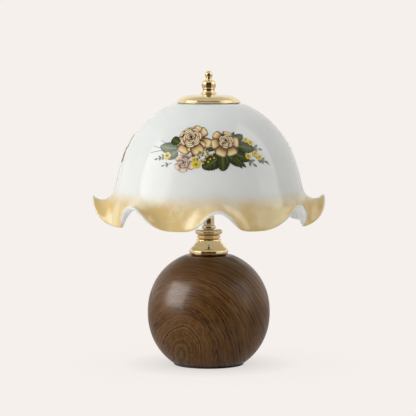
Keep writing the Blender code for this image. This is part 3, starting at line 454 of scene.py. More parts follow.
# %% Plain finishes
PLAIN = {
    "dark_felt": ((0.030, 0.027, 0.024), (0.012, 0.011, 0.010), 0.95, 3000, 0.0002,
                  {"Sheen_Weight": 0.3, "Sheen_Roughness": 0.5}),
    "cast_iron": ((0.11, 0.11, 0.11), (0.05, 0.05, 0.05), 0.65, 1500, 0.0001, {"Metallic": 1.0}),
    "plated_steel": ((0.62, 0.62, 0.61), (0.50, 0.50, 0.50), 0.26, 1200, 0.00001, {"Metallic": 1.0}),
    "black_plastic": ((0.022, 0.022, 0.022), (0.015, 0.015, 0.015), 0.40, 2200, 0.00002, {}),
    "moulded_body": ((0.055, 0.038, 0.032), (0.040, 0.028, 0.024), 0.45, 1800, 0.00002, {}),
    "grey_rubber": ((0.20, 0.20, 0.19), (0.15, 0.15, 0.14), 0.70, 1600, 0.00003, {}),
    "bulb_clear_glass": ((0.98, 0.98, 0.97), (0.95, 0.96, 0.95), 0.02, 60, 0.00002,
                         {"Transmission_Weight": 1.0, "IOR": 1.46}),
}
for name, (light, dark, rough, grain, depth, others) in PLAIN.items():
    n = Finish(name)
    fine = n.speckle(n.place, grain, 4.0, 0.6)
    cloud = n.ranged(n.speckle(n.place, grain / 6), 0.3, 0.7)
    n.shade(Base_Color=n.mixed(cloud, (*light, 1), (*dark, 1)),
            Roughness=n.ranged(fine, 0.3, 0.7, rough * 0.8, min(1.0, rough * 1.2)), **others)
    n.bump(fine, depth)
print(len(PLAIN), "plain finishes")

# %% [markdown]
# Nearly every piece of a lamp is turned, so its shape is a half section spun round the upright
# axis. A few points give the section, as shares of the CAD node's own radius and height, and a
# smooth line through them gives the rest. Sharp corners get a small bevel, because a real edge
# always catches a thin line of light.

# %% Helpers for turned pieces
TURN_STEPS = 96
EDGE_ROUND = 0.00025
SHARP_ANGLE = math.radians(34)
TOUCH = 0.000002
SIDES = ((-1, "left"), (1, "right"))


def faired(points, per_span=5):
    """Points along a smooth line through the given ones."""
    line = [Vector(point) for point in points]
    guide = [line[0] * 2 - line[1], *line, line[-1] * 2 - line[-2]]
    smooth = []
    for before, start, end, after in zip(guide, guide[1:], guide[2:], guide[3:]):
        for step in range(per_span):
            t = step / per_span
            bend = (before * 2 - start * 5 + end * 4 - after) * t ** 2
            twist = (start * 3 - before - end * 3 + after) * t ** 3
            smooth.append((start * 2 + (end - before) * t + bend + twist) / 2)
    return [tuple(point) for point in smooth] + [tuple(line[-1])]


def scaled(shares, radius, height):
    return [(radius * across, height * up) for across, up in shares]


def sized(shares, radius, height, per_span=5):
    """A smooth outline from a table of radius and height shares."""
    return faired(scaled(shares, radius, height), per_span)


def lifted(section, height):
    return [(radius, up + height) for radius, up in section]


def node_size(node):
    """Radius and height of a node that is turned round the lamp's axis."""
    low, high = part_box(node)
    return high.x, high.z - low.z


def disc(node):
    return scaled([(1, 1), (1, 0)], *node_size(node))


def turned(points, steps, closed=False):
    """Spin a line of points once round the Z axis."""
    bm = bmesh.new()
    verts = [bm.verts.new(point) for point in points]
    edges = [bm.edges.new(pair) for pair in zip(verts, verts[1:])]
    if closed:
        edges.append(bm.edges.new((verts[-1], verts[0])))
    bmesh.ops.spin(bm, geom=verts + edges, cent=(0, 0, 0), axis=(0, 0, 1), angle=math.tau, steps=steps,
                   use_merge=True)
    bmesh.ops.remove_doubles(bm, verts=bm.verts, dist=TOUCH)
    return bm


def eased(bm, edges, offset, segments=2, **options):
    """Round off edges."""
    bmesh.ops.bevel(bm, geom=edges, offset=offset, segments=segments, profile=0.5, affect="EDGES",
                    material=-1, **options)


def spun(section, steps=TURN_STEPS, closed=True, ease=EDGE_ROUND):
    """Spin a section of radius and height pairs, and round its sharp corners."""
    bm = turned([(radius, 0, height) for radius, height in section], steps, closed)
    bmesh.ops.recalc_face_normals(bm, faces=bm.faces)
    if ease:
        sharp = [edge for edge in bm.edges if edge.is_manifold and edge.calc_face_angle() > SHARP_ANGLE]
        eased(bm, sharp, ease, clamp_overlap=True)
    return bm


def placed(bm, spot, quarter_turns=0):
    """Tip a bmesh about the X axis and move it to its spot."""
    place = Matrix.Translation(spot) @ Matrix.Rotation(math.pi / 2 * quarter_turns, 4, "X")
    bmesh.ops.transform(bm, matrix=place, verts=bm.verts)
    return bm


def make_piece(name, bm, slot, *finish_names, body="base", node=None):
    """Make a piece that rides on a body. Its finish is named like its slot if none is given."""
    piece = mesh_object(name, bm)
    piece.data.shade_smooth()
    piece.data.set_sharp_from_angle(angle=SHARP_ANGLE)
    for finish_name in finish_names or [slot]:
        piece.data.materials.append(finishes[finish_name])
    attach(piece, body)
    TAKERS[TAKEN_BY.get(slot, "gleam")].objects.link(piece)
    if node:
        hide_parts(node)
    print(f"{name}: {len(piece.data.polygons)} faces")
    return piece


def turned_piece(name, node, section, slot, *finish_names, body="base", **spin):
    """Make a piece from a section that starts at its node's lowest point."""
    bm = spun(lifted(section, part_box(node)[0].z), **spin)
    return make_piece(name, bm, slot, *finish_names, body=body, node=node)


def settle(piece):
    """Replace a piece's mesh by what its modifiers make of it."""
    graph = bpy.context.evaluated_depsgraph_get()
    made = bpy.data.meshes.new_from_object(piece.evaluated_get(graph))
    piece.modifiers.clear()
    piece.data = made


def drilled(piece, radius, depth, spot, quarter_turns=0):
    """Cut a round hole with a Boolean, as a drill would. Spot is the middle of the drill."""
    bm = bmesh.new()
    bmesh.ops.create_cone(bm, cap_ends=True, segments=64, radius1=radius, radius2=radius, depth=depth)
    cutter = mesh_object("drill", placed(bm, spot, quarter_turns))
    cut = piece.modifiers.new("drill", "BOOLEAN")
    cut.operation, cut.solver, cut.object = "DIFFERENCE", "EXACT", cutter
    settle(piece)
    bpy.data.objects.remove(cutter)


# %% [markdown]
# The ball is turned from one block: a flat crown for the neck, a flat foot, a recess for the
# weight and a bore for the tube. It isn't quite round: its outline is a touch squarer than an arc,
# so the arc's sine and cosine are raised to a power just under one. The hole for the cord's gland
# at the back is drilled in two widths.

# %% The walnut ball
BALL_RADIUS = 0.0653
SQUARENESS = 2.1
FOOT_SHARE, CROWN_SHARE = 0.5873, 0.3954
BALL_ROWS = 56
BALL_EDGE = 0.0004
BORE = 0.0053
CLEARANCE = 0.0003
COLLAR, COLLAR_HEIGHT, SLEEVE, GLAND_BORE = 0.0058, 0.002, 0.0044, 0.0032
DRILL_LENGTH, OVERRUN = 0.08, 0.002
ball_low, ball_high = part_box("wood_ball")
foot_angle = -math.acos(FOOT_SHARE ** (SQUARENESS / 2))
crown_angle = math.acos(CROWN_SHARE ** (SQUARENESS / 2))
ball_middle = ball_low.z + BALL_RADIUS * abs(math.sin(foot_angle)) ** (2 / SQUARENESS)
arc = []
for row in range(BALL_ROWS + 1):
    angle = crown_angle + (foot_angle - crown_angle) * row / BALL_ROWS
    across = math.cos(angle) ** (2 / SQUARENESS)
    up = math.copysign(abs(math.sin(angle)) ** (2 / SQUARENESS), angle)
    arc.append((BALL_RADIUS * across, ball_middle + BALL_RADIUS * up))
weight_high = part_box("base_weight")[1]
recess_radius, recess_top = weight_high.x + CLEARANCE, weight_high.z + CLEARANCE
section = arc + [(recess_radius, ball_low.z), (recess_radius, recess_top), (BORE, recess_top),
                 (BORE, ball_high.z)]
bm = spun(section, 128, ease=BALL_EDGE)
ball = make_piece("walnut_ball", bm, "walnut", "satin_walnut", node="wood_ball")

gland_low, gland_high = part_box("cord_bush")
gland_level = (gland_low.z + gland_high.z) / 2
for radius, start in (
    (SLEEVE + CLEARANCE, recess_radius - OVERRUN),
    (COLLAR + CLEARANCE, gland_high.y - COLLAR_HEIGHT - CLEARANCE),
):
    drilled(ball, radius, DRILL_LENGTH, (0, start + DRILL_LENGTH / 2, gland_level), 1)
ball.data.shade_smooth()
ball.data.set_sharp_from_angle(angle=SHARP_ANGLE)
print("ball drilled at height", round(gland_level * 1000, 1), "mm")

# %% [markdown]
# The turned neck is a stack of small rings on the tube: a black washer, a bell with a round bead,
# a collar with one reed, a thick flange, a ring and a sleeve. Each has its own outline from the
# top down, and a straight bore.

# %% The brass neck
BELL = [(0.610, 1.0), (0.613, 0.95), (0.621, 0.90), (0.636, 0.85), (0.660, 0.79), (0.694, 0.725),
        (0.734, 0.66), (0.778, 0.59), (0.822, 0.525), (0.866, 0.465), (0.906, 0.42), (0.94, 0.385)]
BEAD = [(0.955, 0.36), (0.977, 0.32), (0.993, 0.265), (1.0, 0.19), (0.994, 0.11), (0.97, 0.035),
        (0.93, 0.0)]
FLANGE = [(0.72, 1.0), (0.82, 0.985), (0.90, 0.93), (0.96, 0.83), (0.99, 0.70), (1.0, 0.54),
          (0.995, 0.37), (0.97, 0.21), (0.93, 0.08), (0.87, 0.0)]
RING = [(0.86, 1.0), (0.95, 0.93), (1.0, 0.75), (1.0, 0.25), (0.95, 0.07), (0.86, 0.0)]
REED_ROWS, REED_GROOVE, REED_ROUNDNESS = 12, 0.865, 0.62
FELT_EDGE = 0.0003
reed = []
for row in range(REED_ROWS + 1):
    bulge = abs(math.sin(math.pi * row / REED_ROWS)) ** REED_ROUNDNESS
    reed.append((REED_GROOVE + (1 - REED_GROOVE) * bulge, 1 - row / REED_ROWS))


def ring_piece(name, node, outline, slot, *finish_names, bore=BORE, **options):
    """Give an outline a straight bore."""
    section = outline + [(bore, outline[-1][1]), (bore, outline[0][1])]
    return turned_piece(name, node, section, slot, *finish_names, **options)


bell_size = node_size("neck_base")
bell = sized(BELL, *bell_size) + sized(BEAD, *bell_size)
collar = scaled(reed, *node_size("neck_collar"))
flange = sized(FLANGE, *node_size("neck_flange"))
tube_ring = sized(RING, *node_size("tube_collar"))
ring_piece("neck_bell", "neck_base", bell, "polished_brass", "bell_brass")
ring_piece("neck_reed", "neck_collar", collar, "polished_brass", "bell_brass", ease=0)
ring_piece("neck_top_flange", "neck_flange", flange, "polished_brass")
ring_piece("neck_black_washer", "neck_washer", disc("neck_washer"), "black_plastic")
ring_piece("tube_ring", "tube_collar", tube_ring, "polished_brass", "mirror_brass")
ring_piece("tube_cover", "tube_sleeve", disc("tube_sleeve"), "polished_brass", "mirror_brass")
top, foot = disc("felt_pad")
turned_piece("felt_foot", "felt_pad", [(0, top[1]), top, foot, (0, 0)], "felt", "dark_felt", closed=False,
             ease=FELT_EDGE)

# %% [markdown]
# The crown of the shade has a spun cap, a washer and a finial. The cap is a thin shell that stands
# on the glass with its rolled rim. The finial is solid brass with a threaded hole that takes the
# harp's stud, so it rides on its own body and turns.

# %% Cap, washer and finial
CAP = [(0.20, 1.0), (0.36, 0.992), (0.45, 0.978), (0.52, 0.957), (0.60, 0.918), (0.67, 0.865),
       (0.74, 0.79), (0.80, 0.705), (0.855, 0.60), (0.90, 0.50), (0.93, 0.425), (0.95, 0.37),
       (0.961, 0.32), (0.965, 0.27), (0.967, 0.225)]
CAP_RIM = [(0.975, 0.195), (0.99, 0.165), (1.0, 0.115), (1.0, 0.055), (0.985, 0.0)]
CAP_WALL = 0.001
WASHER = [(0.90, 1.0), (0.97, 0.88), (1.0, 0.5), (0.97, 0.12), (0.90, 0.0)]
FINIAL = [(0.0, 1.0), (0.16, 0.995), (0.33, 0.965), (0.455, 0.92), (0.525, 0.87), (0.54, 0.82),
          (0.515, 0.765), (0.46, 0.715), (0.41, 0.68), (0.395, 0.645), (0.405, 0.615), (0.45, 0.585),
          (0.60, 0.56), (0.78, 0.53), (0.91, 0.49), (0.975, 0.44), (1.0, 0.375), (0.99, 0.315),
          (0.965, 0.26)]
FINIAL_STEP = [(0.965, 0.25), (0.955, 0.205), (0.90, 0.197), (0.86, 0.17)]
FINIAL_BODY = [(0.845, 0.14), (0.83, 0.10), (0.83, 0.065), (0.86, 0.03), (0.92, 0.0)]
FINE_EDGE = 0.00015
STUD_HOLE, STUD_GRIP = 0.0035, 0.0088

cap_radius, cap_height = node_size("shade_cap")
outer = sized(CAP, cap_radius, cap_height) + sized(CAP_RIM, cap_radius, cap_height, 3)
inner = [(radius - CAP_WALL, max(0, up - CAP_WALL)) for radius, up in sized(CAP, cap_radius, cap_height, 3)]
inner = [point for point in inner if point[0] > STUD_HOLE] + [(cap_radius * CAP_RIM[-1][0] - CAP_WALL, 0)]
section = [(STUD_HOLE, cap_height), *outer, *inner[::-1], (STUD_HOLE, cap_height - CAP_WALL)]
turned_piece("crown_cap", "shade_cap", section, "polished_brass", "mirror_brass", body="shade", steps=128)

washer = sized(WASHER, *node_size("finial_washer"))
ring_piece("crown_washer", "finial_washer", washer, "polished_brass", bore=STUD_HOLE, body="finial_seat")

finial_size = node_size("finial")
outer = sized(FINIAL, *finial_size) + scaled(FINIAL_STEP, *finial_size) + sized(FINIAL_BODY, *finial_size)
section = [*outer, (STUD_HOLE, 0), (STUD_HOLE, STUD_GRIP), (0, STUD_GRIP)]
turned_piece("crown_finial", "finial", section, "polished_brass", "mirror_brass", body="finial", steps=64,
             closed=False, ease=FINE_EDGE)

# %% [markdown]
# The shade starts as a dome that a mould would give, with a straight skirt below it. While the
# rim is hot it is crimped: eight crests are pulled out and curled up, and the lobes between them
# hang down. In code the dome is spun and its skirt rows are then bent by how near each point is
# to a crest. Solidify gives the glass its wall and one subdivision melts the edge round.

# %% The crimped glass shade
DOME_RADIUS = 0.0988
DOME_HEIGHT = 0.0857
DOME = [(0.0607, 0.0), (0.15, 0.0), (0.243, 0.002), (0.344, 0.014), (0.42, 0.037), (0.525, 0.104),
        (0.60, 0.165), (0.665, 0.228), (0.784, 0.380), (0.878, 0.560), (0.950, 0.770), (1.0, 1.0)]
GLASS_WALL = 0.0032
CREST_COUNT = 8
SHADE_TURN = math.radians(4.5)
LOBE_LENGTH, CREST_LENGTH = 0.0443, 0.0356
SKIRT_START, LOBE_END, CREST_END = 10.0, 16.0, 153.0
CURL_POWER, WIDTH_POWER, LIFT_POWER = 1.6, 1.9, 0.9
FRONT_EASE, FRONT_POWER = 0.272, 1.5
SHADE_STEPS, SKIRT_ROWS, SUBSTEPS = 176, 12, 4
glass_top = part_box("glass_shade")[1].z


def crest_wave(turn):
    """1 in the middle of a crest and 0 in the middle of a lobe."""
    return ((1 + math.cos(CREST_COUNT * turn)) / 2) ** WIDTH_POWER


def skirt_line(turn):
    """Radius and depth of each skirt row below the dome, at one turn from the shade's own front."""
    wave = crest_wave(turn)
    ease = 1 - FRONT_EASE * abs(math.cos(turn)) ** FRONT_POWER
    length = LOBE_LENGTH + (CREST_LENGTH - LOBE_LENGTH) * wave
    radius, depth, rows = DOME_RADIUS, DOME_HEIGHT, []
    steps = SKIRT_ROWS * SUBSTEPS
    for step in range(steps):
        run = (step + 0.5) / steps
        lobe = SKIRT_START + (LOBE_END - SKIRT_START) * run
        crest = SKIRT_START + (CREST_END - SKIRT_START) * run ** CURL_POWER
        angle = math.radians(lobe + (crest - lobe) * wave ** LIFT_POWER * ease)
        radius += math.sin(angle) * length / steps
        depth += math.cos(angle) * length / steps
        if (step + 1) % SUBSTEPS == 0:
            rows.append((radius, depth))
    return rows


drop = LOBE_LENGTH / SKIRT_ROWS
line = sized(DOME, DOME_RADIUS, DOME_HEIGHT, 2)
line += [(DOME_RADIUS, DOME_HEIGHT + drop * (row + 1)) for row in range(SKIRT_ROWS)]
bm = turned([(0, -radius, -depth) for radius, depth in line], SHADE_STEPS)
bm.verts.layers.float.new("rim")
bm.verts.layers.float.new("crest")
rim, crest = bm.verts.layers.float["rim"], bm.verts.layers.float["crest"]
skirt = {}
for vert in bm.verts:
    row = round((-vert.co.z - DOME_HEIGHT) / drop)
    if row < 1:
        continue
    turn = math.atan2(vert.co.x, -vert.co.y)
    key = round(turn, 5)
    skirt.setdefault(key, skirt_line(turn))
    radius, depth = skirt[key][row - 1]
    vert.co = (radius * math.sin(turn), -radius * math.cos(turn), -depth)
    vert[rim] = row / SKIRT_ROWS
    vert[crest] = crest_wave(turn)
bmesh.ops.recalc_face_normals(bm, faces=bm.faces)
crown = max(bm.faces, key=lambda face: face.calc_center_median().z)
if crown.normal.z < 0:
    bmesh.ops.reverse_faces(bm, faces=bm.faces)
place = Matrix.Translation((0, 0, glass_top)) @ Matrix.Rotation(SHADE_TURN, 4, "Z")
bmesh.ops.transform(bm, matrix=place, verts=bm.verts)
shade = make_piece("crimped_shade", bm, "opal_glass", "gilded_opal_glass", "inner_opal_glass_painted_glow",
                   "opal_glass_edge", body="shade", node="glass_shade")
shell = shade.modifiers.new("wall", "SOLIDIFY")
shell.thickness, shell.offset, shell.use_even_offset = GLASS_WALL, -1, True
shell.material_offset, shell.material_offset_rim = 1, 2
melt = shade.modifiers.new("melted_edge", "SUBSURF")
melt.levels = melt.render_levels = 1
print("glass crown at", round(glass_top * 1000, 1), "mm")

# %% [markdown]
# The roses are a transfer: a print on thin film that is floated on to the glass and fired. Here
# each petal and leaf is a thin plate of enamel, drawn flat in millimetres from the middle of the
# spray and then wrapped on to the dome. Every plate is a small grid that is pinched to its
# outline, and it carries its own colours at its points, dark at the root and inked at the edge.

# %% Draw one plate of enamel
MM = 0.001
PLATE_STEP, PLATE_BASE, PLATE_ROOT = 0.000012, 0.00006, -0.00025


def outline_share(along, swell, taper):
    """Half width of a petal at a share of its length: it rises with swell and closes with taper."""
    widest = swell / (swell + taper)
    top = widest ** swell * (1 - widest) ** taper
    return max(0.0, along) ** swell * max(0.0, 1 - along) ** taper / top


def step_share(start, end, value):
    share = min(1.0, max(0.0, (value - start) / (end - start)))
    return share * share * (3 - 2 * share)


def heading_way(heading):
    return Vector((math.cos(math.radians(heading)), math.sin(math.radians(heading))))


def draw_plate(art, place, heading, length, width, tone, swell=0.5, taper=0.5, bend=0.0, teeth=0.0,
               columns=12, rows=12):
    """Add one petal, leaf or stem. Place is its root, heading is in degrees from the right."""
    art["layer"] += 1
    ahead = heading_way(heading)
    aside = Vector((-ahead.y, ahead.x))
    for vert in bmesh.ops.create_grid(art["bm"], x_segments=columns, y_segments=rows, size=0.5)["verts"]:
        across, along = vert.co.x * 2, vert.co.y + 0.5
        tooth = 1 + teeth * (1 if round(along * rows) % 2 else -1) * step_share(0.6, 1.0, abs(across))
        half = width / 2 * outline_share(along, swell, taper) * tooth
        sideways = half * across + bend * length * along * (1 - along)
        spot = Vector(place) + ahead * length * along + aside * sideways
        vert.co = (spot.x * MM, spot.y * MM, PLATE_BASE + PLATE_STEP * art["layer"])
        vert[art["ink"]] = (*tone(across, along), 1.0)


# %% [markdown]
# The colours of an old transfer are few: cream and tan for the roses, a purple brown for their
# ink, two greens and an ochre yellow. A tone is a small recipe that says what colour a plate has
# at a place across it and along it.

# %% Tones of the print
CREAM, PALE, TAN, UMBER = (0.90, 0.70, 0.38), (0.90, 0.74, 0.47), (0.58, 0.35, 0.12), (0.10, 0.042, 0.024)
INK, BLUSH, MAUVE = (0.022, 0.009, 0.010), (0.86, 0.71, 0.53), (0.34, 0.19, 0.14)
LEAF, LEAF_DEEP, LEAF_VEIN = (0.050, 0.074, 0.009), (0.008, 0.014, 0.003), (0.18, 0.22, 0.035)
SAGE, SAGE_DEEP, SAGE_VEIN = (0.24, 0.28, 0.19), (0.10, 0.12, 0.080), (0.38, 0.40, 0.32)
YELLOW, OCHRE, GOLDEN = (0.74, 0.60, 0.060), (0.36, 0.22, 0.025), (0.52, 0.40, 0.05)
STRAW, STRAW_DEEP = (0.84, 0.72, 0.30), (0.80, 0.66, 0.22)


def between(first, second, share):
    share = min(1.0, max(0.0, share))
    return tuple(a + (b - a) * share for a, b in zip(first, second))


def petal_tone(light, middle, root, ink=INK, inked=0.9):
    def tone(across, along):
        colour = between(root, middle, step_share(0.28, 0.56, along))
        colour = between(colour, light, step_share(0.42, 0.80, along) * (1 - 0.55 * abs(across) ** 2))
        streak = 0.5 + 0.5 * math.cos(across * 11.0)
        colour = between(colour, middle, 0.45 * streak * (1 - along))
        edge = max(step_share(0.58, 0.92, abs(across)), step_share(0.86, 0.97, along))
        return between(colour, ink, inked * edge)
    return tone


def leaf_tone(light, deep, vein):
    def tone(across, along):
        colour = between(light, deep, step_share(0.35, 1.0, abs(across)))
        rib = 0.5 + 0.5 * math.cos((along * 5.5 - abs(across) * 1.1) * math.tau)
        colour = between(colour, deep, 0.85 * rib * step_share(0.05, 0.3, abs(across)))
        return between(colour, vein, 0.9 * (1 - step_share(0.0, 0.16, abs(across))) * (1 - along))
    return tone


def curl_tone(light, deep):
    """For a petal that lies round the heart: light along its outer side, deep towards the heart."""
    def tone(across, along):
        colour = between(deep, light, step_share(0.45, -0.40, across))
        ends = max(step_share(0.16, 0.02, along), step_share(0.84, 0.98, along))
        return between(colour, INK, 0.95 * max(step_share(-0.55, -0.92, across), ends))
    return tone


def plain_tone(colour):
    return lambda across, along: colour


CREAM_PETAL = petal_tone(CREAM, TAN, UMBER)
CREAM_CURL = curl_tone(PALE, between(TAN, UMBER, 0.75))
BLUSH_PETAL = petal_tone(BLUSH, between(BLUSH, MAUVE, 0.5), INK, MAUVE, 0.8)
BLUSH_CURL = curl_tone(BLUSH, between(MAUVE, INK, 0.5))
YELLOW_PETAL = petal_tone(YELLOW, YELLOW, OCHRE, OCHRE, 0.6)
PALE_YELLOW = petal_tone(STRAW, STRAW_DEEP, OCHRE, OCHRE, 0.35)
BERRY = petal_tone(YELLOW, GOLDEN, UMBER, UMBER)
GREEN_LEAF = leaf_tone(LEAF, LEAF_DEEP, LEAF_VEIN)
SAGE_LEAF = leaf_tone(SAGE, SAGE_DEEP, SAGE_VEIN)
STEM, SAGE_STEM = plain_tone(LEAF), plain_tone(SAGE_DEEP)
HEART, FLOWER_EYE = plain_tone(INK), plain_tone(between(OCHRE, INK, 0.4))
print("print tones ready")

# %% [markdown]
# A full rose has large guard petals on the outside, each with its own heading and size. On them
# lies the bloom: rings of petals that curl round a dark heart, each ring smaller than the last.
# Small flowers have five round petals and a dark eye. Leaves have toothed edges and ribs.

# %% Flowers and leaves
BLOOM_RINGS = ((6, 0.92, 0.46), (5, 0.72, 0.42), (4, 0.53, 0.36), (3, 0.34, 0.30), (2, 0.17, 0.19))
BLOSSOM_PETALS = 5
LEAF_TEETH = 0.07
SPRIG_ANGLE = 48
GOLDEN_ANGLE, BERRY_REACH = 137.5, 1.70
BERRY_SPREAD = (1.25, 0.8)


def bearing(root, tip):
    """The way from a root to a tip, and its heading in degrees."""
    way = Vector(tip) - Vector(root)
    return way, math.degrees(math.atan2(way.y, way.x))


def draw_rose(art, middle, bloom, guards, outer, curl):
    """Guard petals are (heading, near end, far end, width) from the middle, in millimetres."""
    dice, middle = art["dice"], Vector(middle)
    for heading, near, far, width in guards:
        root = middle + heading_way(heading) * near
        draw_plate(art, root, heading, far - near, width, outer, 0.42, 0.24, dice.uniform(-0.08, 0.08))
    draw_plate(art, middle - Vector((bloom * 1.12, 0)), 0, bloom * 2.24, bloom * 2.3, HEART)
    for count, share, width in BLOOM_RINGS:
        for index in range(count):
            half = 180 / count * dice.uniform(1.0, 1.3)
            spoke = 360 / count * index + 150 * share + dice.uniform(-12, 12)
            reach = bloom * share * dice.uniform(0.92, 1.05)
            root = middle + heading_way(spoke - half) * reach
            length = 2 * reach * math.sin(math.radians(half))
            rise = reach * (1 - math.cos(math.radians(half)))
            draw_plate(art, root, spoke + 90, length, bloom * width, curl, 0.42, 0.42, -4 * rise / length,
                       columns=8)
    draw_plate(art, middle - Vector((bloom * 0.16, 0)), 35, bloom * 0.34, bloom * 0.24, HEART)


def draw_blossom(art, place, radius, start, tone):
    for index in range(BLOSSOM_PETALS):
        heading = start + 360 / BLOSSOM_PETALS * index
        draw_plate(art, place, heading, radius, radius * 0.95, tone, 0.6, 0.38, columns=6, rows=6)
    spot = Vector(place) - Vector((radius * 0.2, 0))
    draw_plate(art, spot, 0, radius * 0.4, radius * 0.4, FLOWER_EYE, columns=4, rows=4)


def draw_leaf(art, root, tip, width, tone=GREEN_LEAF, bend=0.06, taper=0.75):
    way, heading = bearing(root, tip)
    draw_plate(art, root, heading, way.length, width, tone, 0.55, taper, bend, LEAF_TEETH, rows=20)


def draw_stem(art, root, tip, tone=SAGE_STEM, bend=0.08, width=0.55):
    way, heading = bearing(root, tip)
    draw_plate(art, root, heading, way.length, width, tone, 0.12, 0.25, bend, columns=2, rows=10)


def draw_sprig(art, root, tip, stem_tone, pairs=2, size=5.0, bend=0.08):
    """A thin stem with small leaves in pairs and one at its end."""
    draw_stem(art, root, tip, stem_tone, bend)
    way, heading = bearing(root, tip)
    sprouts = []
    for pair in range(pairs):
        spot = Vector(root) + way * (pair + 1) / (pairs + 1)
        for side in (-1, 1):
            sprouts.append((spot, heading + side * SPRIG_ANGLE, size * (1 - 0.15 * pair), size * 0.42))
    for spot, turn, length, width in (*sprouts, (tip, heading, size * 0.9, size * 0.4)):
        draw_plate(art, spot, turn, length, width, SAGE_LEAF, 0.6, 0.7, columns=4, rows=6)


def draw_berries(art, middle, count):
    for index in range(count):
        turn = GOLDEN_ANGLE * index
        way = heading_way(turn) * BERRY_REACH * math.sqrt(index)
        spot = (middle[0] + way.x * BERRY_SPREAD[0], middle[1] + way.y * BERRY_SPREAD[1])
        draw_plate(art, spot, turn, 3.0, 2.6, BERRY, columns=6, rows=6)


# %% [markdown]
# The spray is laid out as a florist would: leaves and thin sprigs first, then the three roses,
# then the small flowers and berries in the gaps. Places are in millimetres from the middle. Each
# group starts again from a low layer, so that the whole print stays thin.

# %% Lay out the spray
LEFT_ROSE = ((98, 5, 14.5, 13), (135, 5, 14.5, 12), (164, 5, 15, 12), (31, 5, 20, 13), (62, 5, 17.5, 11),
             (200, 5, 15.5, 12), (341, 8, 24, 12.5), (325, 6, 19, 10), (243, 6, 20, 15.5),
             (275, 6, 16, 10), (301, 6, 21.5, 14.5))
RIGHT_ROSE = ((71, 3, 12.5, 12), (144, 4, 16.5, 11.5), (194, 4, 17.5, 12.5), (352, 3, 14.5, 14),
              (290, 5, 17.5, 14), (244, 6, 19, 13.5))
LOW_ROSE = ((69, 3, 13.5, 9), (135, 2, 10, 9), (219, 2, 10, 8), (272, 2, 10.5, 8), (340, 2, 12, 9.5))
LEFT_STEMS = (((-48, 1), (-69.5, 4), 0.1), ((-50, 0), (-70.5, -4), -0.08), ((-47, 5), (-62, 11), 0.05))
RIGHT_LEAVES = (
    ((22, 10), (35, 18), 10, 0.10), ((24, 5), (45, 0), 13, 0.08), ((20, -2), (36, -12), 12, -0.06),
    ((14, -5), (24, -18), 9, 0.08), ((20, 12), (25, 22), 4, 0.0), ((12, -6), (14, -17), 4, 0.0),
    ((20, -7), (31, -19), 5, -0.05), ((18, -9), (27, -20), 4, 0.1),
)
RIGHT_BLOSSOMS = ((36.5, 11.5), (41.5, 8), (35, -7), (43.5, -4.5), (47.5, -8.5))
SPRAY = (
    (0, *((draw_stem, root, tip, SAGE_STEM, bend, 0.5) for root, tip, bend in LEFT_STEMS),
     (draw_sprig, (-48, -6), (-59, -10), SAGE_STEM, 2, 4.2),
     (draw_sprig, (-42, -14), (-50, -17), SAGE_STEM, 1, 3.6),
     (draw_leaf, (-38, 2), (-60, 4), 13, SAGE_LEAF, 0.12),
     (draw_leaf, (-38, -1), (-48, -10), 11, SAGE_LEAF, -0.08),
     (draw_leaf, (-37, 8), (-47.5, 13), 10, GREEN_LEAF, 0.05, 0.4),
     (draw_blossom, (-48.5, -6.5), 4.2, 10, PALE_YELLOW)),
    (0.5, *((draw_leaf, root, tip, width, GREEN_LEAF, bend) for root, tip, width, bend in RIGHT_LEAVES),
     (draw_sprig, (40, 4), (49, 1), STEM, 1, 6.0),
     (draw_sprig, (33, -9), (39, -15), STEM, 1, 6.0, 0.05),
     (draw_sprig, (43, -8), (53, -13), SAGE_STEM, 2, 5.5, -0.06),
     (draw_stem, (47, -10), (59, -17.5), SAGE_STEM, 0.06, 0.45),
     *((draw_blossom, spot, 3.4, spot[0] * 11, YELLOW_PETAL) for spot in RIGHT_BLOSSOMS)),
    (1, (draw_leaf, (-20, -4), (-32, 0), 6),
     (draw_leaf, (-31, -3), (-19, -6.5), 4.5),
     (draw_leaf, (2, 3), (-9, 0), 5),
     (draw_leaf, (8, -5), (-11.5, -19.5), 16, GREEN_LEAF, 0.10, 0.6),
     (draw_leaf, (8, -4), (8, -22.5), 12.5, GREEN_LEAF, 0.06, 0.6),
     (draw_rose, (-30, -13.5), 5.0, LOW_ROSE, BLUSH_PETAL, BLUSH_CURL),
     (draw_blossom, (-17.5, -15.5), 4.3, 25, YELLOW_PETAL),
     (draw_blossom, (-19.5, -10.5), 3.0, 60, YELLOW_PETAL)),
    (8, (draw_rose, (-25, 14.5), 10.6, LEFT_ROSE, CREAM_PETAL, CREAM_CURL)),
    (8.5, (draw_rose, (13.5, 10.5), 7.4, RIGHT_ROSE, CREAM_PETAL, CREAM_CURL),
     (draw_berries, (-9.5, -7), 16)),
)


def flat_spray(seed):
    bm = bmesh.new()
    art = {"bm": bm, "ink": bm.verts.layers.float_color.new("print_colour"), "dice": random.Random(seed)}
    for layer, *rows in SPRAY:
        art["layer"] = layer
        for draw, *row in rows:
            draw(art, *row)
    bmesh.ops.remove_doubles(bm, verts=bm.verts, dist=1e-7)
    raised = bmesh.ops.extrude_face_region(bm, geom=list(bm.faces))["geom"]
    moved = {item for item in raised if isinstance(item, bmesh.types.BMVert)}
    for vert in bm.verts:
        if vert not in moved:
            vert.co.z = PLATE_ROOT
    bmesh.ops.recalc_face_normals(bm, faces=bm.faces)
    return bm


# %% [markdown]
# Wrapping goes by distance: a point's height in the drawing is measured along the dome's own
# line from the middle of the spray, and its distance to the side becomes a turn round the axis.
# Three copies sit about a third of a turn apart, so one shows from every side.

